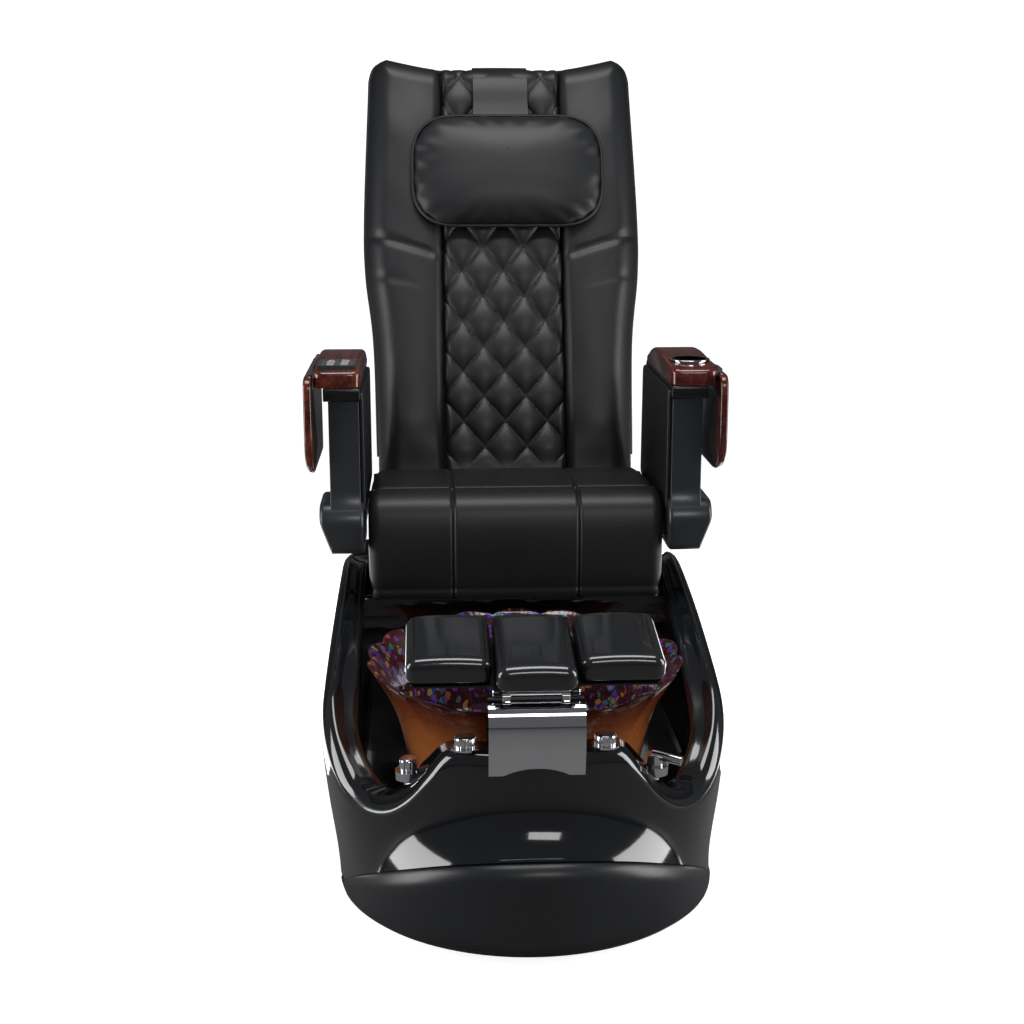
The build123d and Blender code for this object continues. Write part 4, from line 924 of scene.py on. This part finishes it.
# %% Side bolsters of the back
PANEL = 0.127
s_values = clustered(0, 1, 64)
t_values = 0.25 * np.linspace(0, 1, 210) + 0.75 * np.sin(np.linspace(0, math.pi / 2, 210))
x, v = back_plan(s_values, t_values, lambda h: PANEL + 0.0008, half_width, -0.105)
to_rim = rim_distance(x, v)
to_seam = x - PANEL
across = np.clip(to_seam / (half_width(np.clip(v, 0.04, 0.892)) - PANEL), 0, 1)
face = -quarter(to_rim, 0.050, 0.048) - quarter(to_seam, 0.020, 0.020)
crown = np.sin(math.pi * across) ** 0.8 * smoothstep(v, 0.0, 0.12)
face += 0.014 * crown * (1 - 0.5 * smoothstep(v, 0.72, 0.86))
face -= 0.005 * (1 - smoothstep(v, -0.02, 0.06))
crease_at = 0.461 + 0.050 * across
face -= 0.0060 * np.exp(-(((v - crease_at) / 0.009) ** 2)) * smoothstep(across, 0.0, 0.2)
crease_at = 0.392 + 0.030 * across
face -= 0.0022 * np.exp(-(((v - crease_at) / 0.010) ** 2)) * smoothstep(across, 0.1, 0.5)
face += 0.0014 * crumple(x, v, 4) * smoothstep(v, 0.02, 0.1)
wing_right = pad_from_grid("wing_right", x, v, face, -0.0515)
wing_left = mirrored_copy(wing_right, "wing_left")
finish_piece(wing_right, "backrest", vinyl, ["back_wing_right"])
finish_piece(wing_left, "backrest", vinyl, ["back_wing_left"])
print("wing", len(wing_right.data.polygons))

# %% Quilted centre panel
DIAMOND = (0.088, 0.108)
QUILT_V = 0.105
s_values = clustered(0, 1, 110)
t_values = np.linspace(0, 1, 400)
x, v = back_plan(s_values, t_values, lambda h: -PANEL + 0.0008, lambda h: PANEL - 0.0008, -0.105)
a = x / DIAMOND[0] + (v - QUILT_V) / DIAMOND[1]
b = x / DIAMOND[0] - (v - QUILT_V) / DIAMOND[1]
puff = (np.abs(np.sin(math.pi * a)) * np.abs(np.sin(math.pi * b))) ** 0.42
quilted = smoothstep(v, 0.0, 0.05)
to_side = PANEL - np.abs(x)
to_top = crest_v(0) + 0.002 - v
face = -0.0095 + 0.0125 * (puff * quilted + 0.6 * (1 - quilted))
face -= quarter(to_side, 0.014, 0.016) + quarter(np.maximum(to_top, 0), 0.035, 0.036)
face -= 0.002 * (1 - smoothstep(v, -0.03, 0.04))
centre = pad_from_grid("quilted_panel", x, v, face, -0.0515)
finish_piece(centre, "backrest", vinyl, ["back_centre_pad"])
print("panel", len(centre.data.polygons))

# %% Rear cover and welt
s_values = clustered(0, 1, 60)
t_values = 0.2 * np.linspace(0, 1, 150) + 0.8 * np.sin(np.linspace(0, math.pi / 2, 150))
x, v = back_plan(s_values, t_values, lambda h: -half_width(h), half_width, 0.0005)
to_rim = np.minimum(rim_distance(x, np.maximum(v, 0.04)), np.maximum(v, 0))
face = -0.1265 + quarter(to_rim, 0.042, 0.060)
face += 0.0035 * smoothstep(to_rim, 0.060, 0.066)
cover = pad_from_grid("back_cover", x, v, face, -0.0525, sharp=50)
finish_piece(cover, "backrest", satin, ["back_shell"])
right_part = [back_point(px, pv, -0.0500) for px, pv in even(outline, 200)]
left_part = [(-px, py, pz) for px, py, pz in right_part]
welt = tube("back_welt", right_part + left_part[::-1][1:], 0.0042, sides=8)
finish_piece(welt, "backrest", vinyl)

# %% [markdown]
# ## Head pillow and strap
# The pillow hangs from a broad strap that passes over the top of the back.

# %% Pillow
PILLOW_V = 0.640
PILLOW_X = 0.012
PILLOW_HALF = (0.200, 0.119)
PILLOW_CORNER = 0.075


def pillow_edge(count):
    half_x, half_v = PILLOW_HALF
    corners = [(-half_x, -half_v), (half_x, -half_v), (half_x, half_v), (-half_x, half_v)]
    loop = round_corners(corners, PILLOW_CORNER * 1.25, steps=16)
    return even(np.vstack([loop, loop[:1]]), count + 1)[:-1]


EDGE_POINTS = 160
FACE_RINGS = 33
edge = pillow_edge(EDGE_POINTS)
shares = np.sin(np.linspace(0, math.pi / 2, FACE_RINGS + 1))
vertices = [back_point(PILLOW_X, PILLOW_V, 0.064)]
for share in shares[1:]:
    for k, (px, pv) in enumerate(edge):
        pull = 1 - 0.012 * (1 + math.sin(k * 0.9) * math.sin(k * 0.37)) * share**6
        height = 0.024 + 0.040 * (1 - share**2.6) ** 0.62
        near_rim = math.exp(-(((share - 0.90) / 0.10) ** 2))
        ripple = 0.0016 * math.sin(k * 0.78 + 1.3 * math.sin(k * 0.21)) * near_rim
        reach = share * pull
        vertices.append(back_point(PILLOW_X + px * reach, PILLOW_V + pv * reach, height + ripple))
for share in shares[1:-1][::-1]:
    for k, (px, pv) in enumerate(edge):
        height = 0.024 - 0.0225 * (1 - share**5.0) ** 0.7
        vertices.append(back_point(PILLOW_X + px * share, PILLOW_V + pv * share, height))
vertices.append(back_point(PILLOW_X, PILLOW_V, 0.0015))
faces = [(0, 1 + k, 1 + (k + 1) % EDGE_POINTS) for k in range(EDGE_POINTS)]
faces += grid_faces(2 * FACE_RINGS - 1, EDGE_POINTS, wrap=True, start=1)
last = len(vertices) - 1
rim = last - EDGE_POINTS
faces += [(last, rim + (k + 1) % EDGE_POINTS, rim + k) for k in range(EDGE_POINTS)]
pillow = make_object("head_cushion", vertices, faces, sharp=80)
finish_piece(pillow, "backrest", vinyl, ["head_pillow"])
piping_path = [back_point(PILLOW_X + px * 1.006, PILLOW_V + pv * 1.008, 0.024) for px, pv in pillow_edge(180)]
piping = tube("pillow_piping", piping_path, 0.0036, closed=True)
finish_piece(piping, "backrest", vinyl)

# %% Strap
STRAP_HALF = 0.059
strap_line = [(0.690, 0.0300), (0.722, 0.0240), (0.752, 0.0110), (0.790, 0.0060), (0.835, 0.0040),
              (0.862, -0.004), (0.8865, -0.030), (0.8870, -0.062), (0.8865, -0.095), (0.874, -0.122),
              (0.840, -0.1310), (0.750, -0.1310)]
strap_line = curve_through(strap_line, 70)
flat = inward(np.vstack([strap_line, strap_line[::-1]]))[: len(strap_line)]
rings = []
for k, ((v, w), (nv, nw)) in enumerate(zip(strap_line, flat)):
    widen = STRAP_HALF + 0.008 * (1 - smoothstep(k, 0, 18))
    ring = []
    for side_x, thick in ((-1, 0.0), (-0.985, 0.0016), (-0.5, 0.0018), (0, 0.0020), (0.5, 0.0018),
                          (0.985, 0.0016), (1, 0.0), (0.985, -0.0014), (0, -0.0016), (-0.985, -0.0014)):
        ring.append(back_point(side_x * widen, v + nv * thick, w + nw * thick))
    rings.append(ring)
strap = loft("head_strap", rings, sharp=60)
finish_piece(strap, "backrest", vinyl, ["pillow_strap"])

# %% [markdown]
# ## Stitching
# One node tree lays small rounded stitches along any guide line. The guide lines are dropped onto the covers:
# two rows beside each seam of the cushion, and a plain rosette on the head cushion.

# %% Node tree for a run of stitches
stitch_tree = bpy.data.node_groups.new("run_of_stitches", "GeometryNodeTree")
stitch_face = stitch_tree.interface
stitch_face.new_socket("Geometry", in_out="INPUT", socket_type="NodeSocketGeometry")
for title in ("Spacing", "Length", "Thickness"):
    stitch_face.new_socket(title, in_out="INPUT", socket_type="NodeSocketFloat")
stitch_face.new_socket("Seed", in_out="INPUT", socket_type="NodeSocketInt")
stitch_face.new_socket("Thread", in_out="INPUT", socket_type="NodeSocketMaterial")
stitch_face.new_socket("Geometry", in_out="OUTPUT", socket_type="NodeSocketGeometry")
given = stitch_tree.nodes.new("NodeGroupInput")
result = stitch_tree.nodes.new("NodeGroupOutput")
guide = stitch_tree.nodes.new("GeometryNodeMeshToCurve")
spread = stitch_tree.nodes.new("GeometryNodeResampleCurve")
spread.mode = "LENGTH"
along = stitch_tree.nodes.new("GeometryNodeInputTangent")
aim = stitch_tree.nodes.new("FunctionNodeAlignRotationToVector")
aim.axis = "Z"
bead = stitch_tree.nodes.new("GeometryNodeMeshUVSphere")
bead.inputs["Segments"].default_value = 8
bead.inputs["Rings"].default_value = 6
bead.inputs["Radius"].default_value = 1.0
wander = stitch_tree.nodes.new("FunctionNodeRandomValue")
wander.data_type = "FLOAT"
wander.inputs[2].default_value = 0.44
wander.inputs[3].default_value = 0.50
reach = stitch_tree.nodes.new("ShaderNodeMath")
reach.operation = "MULTIPLY"
size = stitch_tree.nodes.new("ShaderNodeCombineXYZ")
place = stitch_tree.nodes.new("GeometryNodeInstanceOnPoints")
solid = stitch_tree.nodes.new("GeometryNodeRealizeInstances")
dress = stitch_tree.nodes.new("GeometryNodeSetMaterial")
for source, target in ((given.outputs["Geometry"], guide.inputs[0]),
                       (guide.outputs[0], spread.inputs["Curve"]),
                       (given.outputs["Spacing"], spread.inputs["Length"]),
                       (along.outputs[0], aim.inputs["Vector"]),
                       (given.outputs["Seed"], wander.inputs["Seed"]), (wander.outputs[1], reach.inputs[0]),
                       (given.outputs["Length"], reach.inputs[1]),
                       (given.outputs["Thickness"], size.inputs[0]),
                       (given.outputs["Thickness"], size.inputs[1]), (reach.outputs[0], size.inputs[2]),
                       (spread.outputs[0], place.inputs["Points"]),
                       (bead.outputs["Mesh"], place.inputs["Instance"]),
                       (aim.outputs[0], place.inputs["Rotation"]), (size.outputs[0], place.inputs["Scale"]),
                       (place.outputs[0], solid.inputs[0]), (solid.outputs[0], dress.inputs["Geometry"]),
                       (given.outputs["Thread"], dress.inputs["Material"]),
                       (dress.outputs[0], result.inputs[0])):
    stitch_tree.links.new(source, target)
print("stitch tree", len(stitch_tree.nodes), "nodes")

# %% Rows of stitches
def stitched(name, runs, body):
    """Turns guide lines into one mesh of stitches."""
    points = []
    edges = []
    for run in runs:
        edges += [(len(points) + k, len(points) + k + 1) for k in range(len(run) - 1)]
        points += run
    mesh = bpy.data.meshes.new(name)
    mesh.from_pydata([tuple(point) for point in points], edges, [])
    obj = bpy.data.objects.new(name, mesh)
    bpy.context.scene.collection.objects.link(obj)
    modifier = obj.modifiers.new("stitches", "NODES")
    modifier.node_group = stitch_tree
    values = {"Spacing": 0.0062, "Length": 0.0044, "Thickness": 0.0007, "Seed": 7, "Thread": thread}
    for item in stitch_face.items_tree:
        if item.in_out == "INPUT" and item.name in values:
            modifier[item.identifier] = values[item.name]
    bake(obj)
    return finish_piece(obj, body, thread)


def dropped(obj, starts, direction):
    """Where rays from the starting points first meet a cover."""
    tree = BVHTree.FromObject(obj, bpy.context.evaluated_depsgraph_get())
    hits = [tree.ray_cast(start, direction)[0] for start in starts]
    return [hit for hit in hits if hit is not None]


seam_rows = []
for seam in SEAT_SEAMS:
    for offset in (-0.0065, 0.0065):
        starts = [(seam + offset, y, 1.0) for y in np.linspace(-0.13, 0.20, 120)]
        seam_rows.append(dropped(cushion, starts, (0, 0, -1)))
seat_stitches = stitched("seat_stitches", seam_rows, "seat")
corners = np.array(pillow.bound_box)
pillow_z = (corners[:, 2].min() + corners[:, 2].max()) / 2
bearing = np.linspace(0, 2 * math.pi, 241)
petal = 0.034 * (1 + 0.42 * np.cos(5 * bearing))
starts = []
for reach_out, angle in zip(petal, bearing):
    height = pillow_z + reach_out * math.cos(angle)
    starts.append((PILLOW_X + reach_out * math.sin(angle), -1.0, height))
rosette = stitched("pillow_stitches", [dropped(pillow, starts, (0, 1, 0))], "backrest")
print("stitches", len(seat_stitches.data.polygons), len(rosette.data.polygons))

# %% [markdown]
# ## Armrests
# Each arm has a moulded frame with an open side, an upholstered board inside it, an arched wooden top and a
# wooden tray that folds up outside. A touch panel is let into the left top, a cup holder into the right.

# %% Frames
arm_outline = round_corners([(-0.092, 0.505), (-0.102, 0.572), (-0.079, 0.606), (-0.078, 0.786),
                             (-0.081, 0.8145), (0.285, 0.8145), (0.305, 0.790), (0.308, 0.560),
                             (0.297, 0.505)],
                            [0.012, 0.03, 0.03, 0.01, 0.003, 0.003, 0.014, 0.03, 0.012])
window = round_corners([(-0.008, 0.622), (-0.004, 0.776), (0.235, 0.776), (0.247, 0.578), (0.042, 0.578)],
                       0.02)
lug_slot = [(0.240, 0.49), (0.240, 0.5585), (0.300, 0.5585), (0.300, 0.49)]
arm_right = slab("arm_frame_right", arm_outline, (0.288, 0.344), bevel=0.0055,
                 cuts=[{"outline": window, "x": (0.298, 0.36)}, {"outline": lug_slot, "x": (0.3093, 0.3227)}])
foot_outline = round_corners([(-0.092, 0.5052), (-0.102, 0.572), (-0.082, 0.602), (0.030, 0.602),
                              (0.050, 0.572), (0.050, 0.5052)], [0.012, 0.03, 0.02, 0.02, 0.03, 0.012])
foot_right = slab("arm_foot_right", foot_outline, (0.2825, 0.3565), bevel=0.009, steps=4)
band_outline = round_corners([(-0.086, 0.790), (-0.086, 0.8145), (0.262, 0.8145), (0.262, 0.803),
                              (-0.040, 0.803), (-0.048, 0.790)], 0.006)
band_right = slab("arm_band_right", band_outline, (0.2855, 0.3525), bevel=0.002)
board_outline = round_corners([(-0.070, 0.572), (-0.070, 0.806), (0.281, 0.806), (0.290, 0.575)], 0.018)
board_right = slab("arm_pad_right", board_outline, (0.2795, 0.2885), bevel=0.004, steps=4)
for vertex in foot_right.data.vertices:
    if vertex.co.x > 0.34:
        bulge = 0.008 * float(smoothstep(vertex.co.z, 0.53, 0.575))
        tuck = 0.010 * (1 - float(smoothstep(vertex.co.z, 0.505, 0.55)))
        vertex.co.x += bulge - tuck
for right, left, material, slot_name, nodes, fill in (
    (arm_right, "arm_frame_left", arm_plastic, "arm_plastic", ("arm_shell_right", "arm_shell_left"), None),
    (foot_right, "arm_foot_left", arm_plastic, "arm_plastic", None, None),
    (band_right, "arm_band_left", bracket_black, "satin_black_moulding", None, None),
    (board_right, "arm_pad_left", vinyl, "black_upholstery", None, 0.7),
):
    other = mirrored_copy(right, left)
    finish_piece(right, "arm_right", material, nodes[:1] if nodes else ())
    finish_piece(other, "arm_left", material, nodes[1:] if nodes else ())

# %% Wooden tops
WOOD_X = 0.327
WOOD_HALF = 0.043
arch = curve_through([(-0.085, 0.846), (-0.020, 0.852), (0.090, 0.858), (0.190, 0.851), (0.263, 0.825)], 120)


def wood_ring(y):
    """Section of the top at y: a flat base, eased edges and a slight crown."""
    top = float(np.interp(y, arch[:, 0], arch[:, 1]))
    tuck = float(end_round(y, -0.085, 0.2665, 0.018))
    half = WOOD_HALF - tuck
    low = 0.8152
    top = max(top - 0.45 * tuck, low + 0.004)
    ease = min(0.009, (top - low) * 0.4)
    ring = []
    for cx, cz, start in ((half - ease, top - ease, 0), (-half + ease, top - ease, 90),
                          (-half + 0.002, low + 0.002, 180), (half - 0.002, low + 0.002, 270)):
        size = ease if start < 180 else 0.002
        for angle in np.radians(start + np.linspace(0, 90, 6)):
            ring.append((WOOD_X + cx + size * math.cos(angle), y, cz + size * math.sin(angle)))
    return ring


wood_y = clustered(-0.085, 0.2665, 90)
wood_right = loft("arm_wood_right", [wood_ring(y) for y in wood_y], sharp=50)
wood_left = mirrored_copy(wood_right, "arm_wood_left")
turn = np.linspace(0, 2 * math.pi, 64, endpoint=False)
CUP_Y = -0.008
CUP_HOLE = 0.0345
cup_circle = [(WOOD_X + CUP_HOLE * math.cos(a), CUP_Y + CUP_HOLE * math.sin(a)) for a in turn]
cup_cutter = loft("cutter", [[(px, y, z) for px, y in cup_circle] for z in (0.80, 0.90)])
cut_away(wood_right, cup_cutter)
wood_right.data.set_sharp_from_angle(angle=math.radians(45))
finish_piece(wood_right, "arm_right", mahogany, ["arm_top_right"])
finish_piece(wood_left, "arm_left", mahogany, ["arm_top_left"])

# %% Folding trays
tray_outline = round_corners([(-0.102, 0.650), (-0.102, 0.836), (0.198, 0.836), (0.198, 0.650)],
                             [0.075, 0.030, 0.012, 0.012])
tray_right = slab("tray_leaf_right", tray_outline, (0.3727, 0.3873), bevel=0.0045, steps=4)
knuckles = [tray_right]
for low, high in ((-0.0495, -0.0305), (0.1405, 0.1595)):
    disc = [(0.3755 + 0.0045 * math.cos(a), 0.842 + 0.0045 * math.sin(a)) for a in turn[::3]]
    barrel = loft("knuckle", [[(px, y, pz) for px, pz in disc] for y in (low, high)])
    tongue_outline = [(low, 0.830), (low, 0.840), (high, 0.840), (high, 0.830)]
    tongue = slab("tongue", tongue_outline, (0.3735, 0.3795), bevel=0.0)
    knuckles += [barrel, tongue]
tray_left = mirrored_copy(tray_right, "tray_leaf_left")
metal_right = join("tray_knuckles_right", knuckles[1:])
metal_left = mirrored_copy(metal_right, "tray_knuckles_left")
finish_piece(tray_right, "tray_right", mahogany, ["tray_right"])
finish_piece(tray_left, "tray_left", mahogany, ["tray_left"])
finish_piece(metal_right, "tray_right", bright_steel)
finish_piece(metal_left, "tray_left", bright_steel)

# %% Touch panel: generic key marks on the glass
GLASS_TOP = 0.8546
marks = []
for row in range(3):
    for column in range(2):
        centre_x = -0.340 + 0.026 * column
        centre_y = -0.048 + 0.024 * row
        if (row + column) % 2:
            path = [(centre_x + 0.007 * math.cos(a), centre_y + 0.007 * math.sin(a)) for a in turn[::4]]
        else:
            path = round_corners([(centre_x - 0.007, centre_y - 0.006), (centre_x + 0.007, centre_y - 0.006),
                                  (centre_x, centre_y + 0.007)], 0.003)
        marks.append(tube("mark", [(px, py, GLASS_TOP) for px, py in path], 0.0006, closed=True, sides=6))
key_marks = join("key_marks", marks)
finish_piece(key_marks, "arm_left", pvc)

# %% [markdown]
# ## Footrest
# Three glossy pads on a hinged plate, carried by a bright bent bracket.

# %% Pads
HINGE = (-0.632, 0.424)
TILT = math.radians(9.0)


def tilted(x, y, z):
    """From the plate's own axes to the frame."""
    along = y * math.cos(TILT) - z * math.sin(TILT)
    up = y * math.sin(TILT) + z * math.cos(TILT)
    return (x, HINGE[0] + along, HINGE[1] + up)


pad_section = round_corners([(-0.0315, 0.0125), (0.1725, 0.0125), (0.1725, 0.0525), (-0.0315, 0.0525)],
                            [0.014, 0.010, 0.026, 0.036], steps=12)
pad_section = even(np.vstack([pad_section, pad_section[:1]]), 121)[:-1]
PAD_REAR = 0.1725
CENTRE_DEPTH = 0.204
SIDE_DEPTH = 0.172
PADS = (
    ("foot_pad_left", -0.2025, -0.0675, SIDE_DEPTH, []),
    ("foot_pad_centre", -0.0635, 0.0635, CENTRE_DEPTH, ["footrest_pad_centre"]),
    ("foot_pad_right", 0.0675, 0.2025, SIDE_DEPTH, ["footrest_pads_side"]),
)
for name, low, high, depth, nodes in PADS:
    section = pad_section.copy()
    section[:, 0] = PAD_REAR - (PAD_REAR - section[:, 0]) * depth / CENTRE_DEPTH

    def pad_inset(x, low=low, high=high):
        return float(end_round(x, low, high, 0.019))

    pad = sweep_across(name, section, clustered(low, high, 60), pad_inset, tilted, sharp=70)
    for vertex in pad.data.vertices:
        middle = (vertex.co.x - (low + high) / 2) / ((high - low) / 2)
        lift = 0.004 * (1 - min(1.0, abs(middle)) ** 2)
        if vertex.co.z > HINGE[1] + 0.02:
            vertex.co.z += lift
    finish_piece(pad, "footrest", vinyl_shiny, nodes)

# %% Bracket
front_bend = curve_through([(-0.656, 0.297), (-0.6625, 0.320), (-0.6665, 0.350), (-0.6655, 0.380),
                            (-0.658, 0.402), (-0.643, 0.4115), (-0.625, 0.412)], 30)
rear_bend = curve_through([(-0.625, 0.409), (-0.641, 0.4085), (-0.655, 0.400), (-0.6625, 0.379),
                           (-0.6635, 0.350), (-0.6595, 0.321), (-0.6532, 0.298)], 30)
strut_corners = [(-0.612, 0.409), (-0.605, 0.404), (-0.605, 0.333), (-0.650, 0.333), (-0.650, 0.3303),
                 (-0.602, 0.3303), (-0.602, 0.412)]
strut = round_corners(strut_corners, [0.002, 0.004, 0.002, 0.0008, 0.0008, 0.003, 0.004], steps=4)
bracket_outline = np.vstack([front_bend, strut[::-1], rear_bend])
bracket = slab("bent_bracket", bracket_outline, (-0.075, 0.075), bevel=0.0)
parts = [bracket]
for side in (-1, 1):
    lug = [(-0.639, 0.4085), (-0.639, 0.424), (-0.625, 0.424), (-0.625, 0.4085)]
    span = sorted((side * 0.040, side * 0.052))
    parts.append(slab("ear", round_corners(lug, 0.003), span, bevel=0.0008))
for low, high, radius in ((-0.068, 0.068, 0.005), (-0.052, -0.040, 0.008), (0.040, 0.052, 0.008)):
    disc = [(HINGE[0] + radius * math.cos(a), HINGE[1] + radius * math.sin(a)) for a in turn[::2]]
    parts.append(loft("pin", [[(px, y, z) for y, z in disc] for px in (low, high)]))
bracket = join("bent_bracket", parts)
finish_piece(bracket, "base", chrome, ["footrest_bracket"])

# %% [markdown]
# ## CAD nodes that stay visible
# They keep their shape and only get a finish.

# %% Finishes of the remaining nodes
FINISHES = {
    "rear_access_panel": satin, "base_frame": frame_steel, "levelling_feet": rubber, "bowl_gasket": rubber,
    "drain_body": pvc, "drain_stopper": chrome, "drain_outlet_pipe": pvc, "jet_nozzles": chrome,
    "jet_hoses": rubber, "jet_pump": case_plastic, "pump_impeller": case_plastic,
    "water_inlets": bright_steel, "power_supply_box": case_plastic, "power_inlet": case_plastic,
    "slide_rails": bright_steel, "slide_carriages": frame_steel, "slide_actuator_body": case_plastic,
    "slide_actuator_rod": bright_steel, "seat_frame": frame_steel, "recline_hinge_plates": frame_steel,
    "back_frame": frame_steel, "massage_rails": bright_steel, "massage_lead_screw": bright_steel,
    "massage_carriage": case_plastic, "massage_rollers": rubber, "recline_actuator_body": case_plastic,
    "recline_actuator_rod": bright_steel, "cup_holder": chrome, "control_panel_bezel": chrome,
    "control_panel_glass": panel_glass, "tray_hinge_right": bright_steel, "tray_hinge_left": bright_steel,
    "arm_pivot_pins": bright_steel, "bracket_bolts": bright_steel, "footrest_plate": bracket_black,
    "deck_escutcheons": chrome, "jet_knob": chrome, "drain_knob": chrome, "mixer_handle": chrome,
    "hand_sprayer": chrome,
}
for node_name, finish in FINISHES.items():
    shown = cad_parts[node_name]
    shown.data.materials.clear()
    shown.data.materials.append(finish)
print("finished nodes", len(FINISHES))

# %% [markdown]
# ## Studio
# A pale floor and backdrop, two long soft boxes beside the tub, a broad light above, a front light and two
# cards on the floor that shine upwards.

# %% Floor and backdrop
paper, tree, shader = material_with("studio_paper", (0.80, 0.80, 0.80), 0.9, grain=(60.0, 0.02), wear=0.05)
seen = tree.nodes.new("ShaderNodeLightPath")
glow = node(tree, "ShaderNodeEmission", Strength=0.90)
both = tree.nodes.new("ShaderNodeAddShader")
dim = node(tree, "ShaderNodeBsdfDiffuse", Color=(0.20, 0.20, 0.20, 1))
choose = tree.nodes.new("ShaderNodeMixShader")
tree.links.new(shader.outputs[0], both.inputs[0])
tree.links.new(glow.outputs[0], both.inputs[1])
tree.links.new(seen.outputs["Is Camera Ray"], choose.inputs[0])
tree.links.new(dim.outputs[0], choose.inputs[1])
tree.links.new(both.outputs[0], choose.inputs[2])
tree.links.new(choose.outputs[0], tree.nodes["Material Output"].inputs["Surface"])
floor_path = [(-7.0, 0.0), (3.2, 0.0), (4.4, 0.25), (5.0, 1.2), (5.2, 6.0)]
floor_line = curve_through(floor_path, 60)
floor_rows = [[(px, y, z - 0.0005) for px in np.linspace(-9, 9, 4)] for y, z in floor_line]
floor = open_sheet("floor", floor_rows[::-1], wrap=False)
floor.data.shade_smooth()
floor.data.materials.append(paper)


def soft_light(name, place, target, size, energy):
    light = bpy.data.lights.new(name, "AREA")
    light.shape = "RECTANGLE"
    light.size, light.size_y = size
    light.energy = energy
    holder = bpy.data.objects.new(name, light)
    holder.location = place
    aim = Vector(target) - Vector(place)
    holder.rotation_euler = aim.to_track_quat("-Z", "Y").to_euler()
    bpy.context.scene.collection.objects.link(holder)
    return holder


soft_light("side_left", (-2.3, -0.5, 0.9), (0, -0.1, 0.45), (1.1, 1.7), 30)
soft_light("side_right", (2.3, -0.5, 0.9), (0, -0.1, 0.45), (1.1, 1.7), 30)
soft_light("overhead", (0.0, -0.4, 3.2), (0, 0.1, 0.5), (2.0, 1.2), 40)
soft_light("front", (0.6, -4.0, 2.6), (0, 0, 0.6), (1.6, 0.9), 22)
for side in (-1, 1):
    soft_light("floor_card", (side * 1.05, 1.15, 0.01), (side * 1.05, 1.15, 1.0), (1.15, 2.3), 26)
world = bpy.data.worlds.new("studio")
bpy.context.scene.world = world
world.use_nodes = True
sky = world.node_tree
background = sky.nodes["Background"]
background.inputs["Strength"].default_value = 1.0
ray = sky.nodes.new("ShaderNodeLightPath")
tone = node(sky, "ShaderNodeMix", data_type="RGBA")
tone.inputs[6].default_value = (0.10, 0.102, 0.108, 1)
tone.inputs[7].default_value = (1.0, 1.0, 1.0, 1)
sky.links.new(ray.outputs["Is Camera Ray"], tone.inputs[0])
sky.links.new(tone.outputs[2], background.inputs["Color"])

# %% Camera
camera_data = bpy.data.cameras.new("camera")
camera_data.sensor_width = 36.0
camera_data.lens = 55.48
camera = bpy.data.objects.new("camera", camera_data)
camera.location = (-0.158, -2.931, 1.25)
camera.rotation_euler = (math.radians(90 - 13.2), 0.0, math.radians(-3.0))
bpy.context.scene.collection.objects.link(camera)
bpy.context.scene.camera = camera
bpy.context.scene.view_settings.view_transform = "Standard"
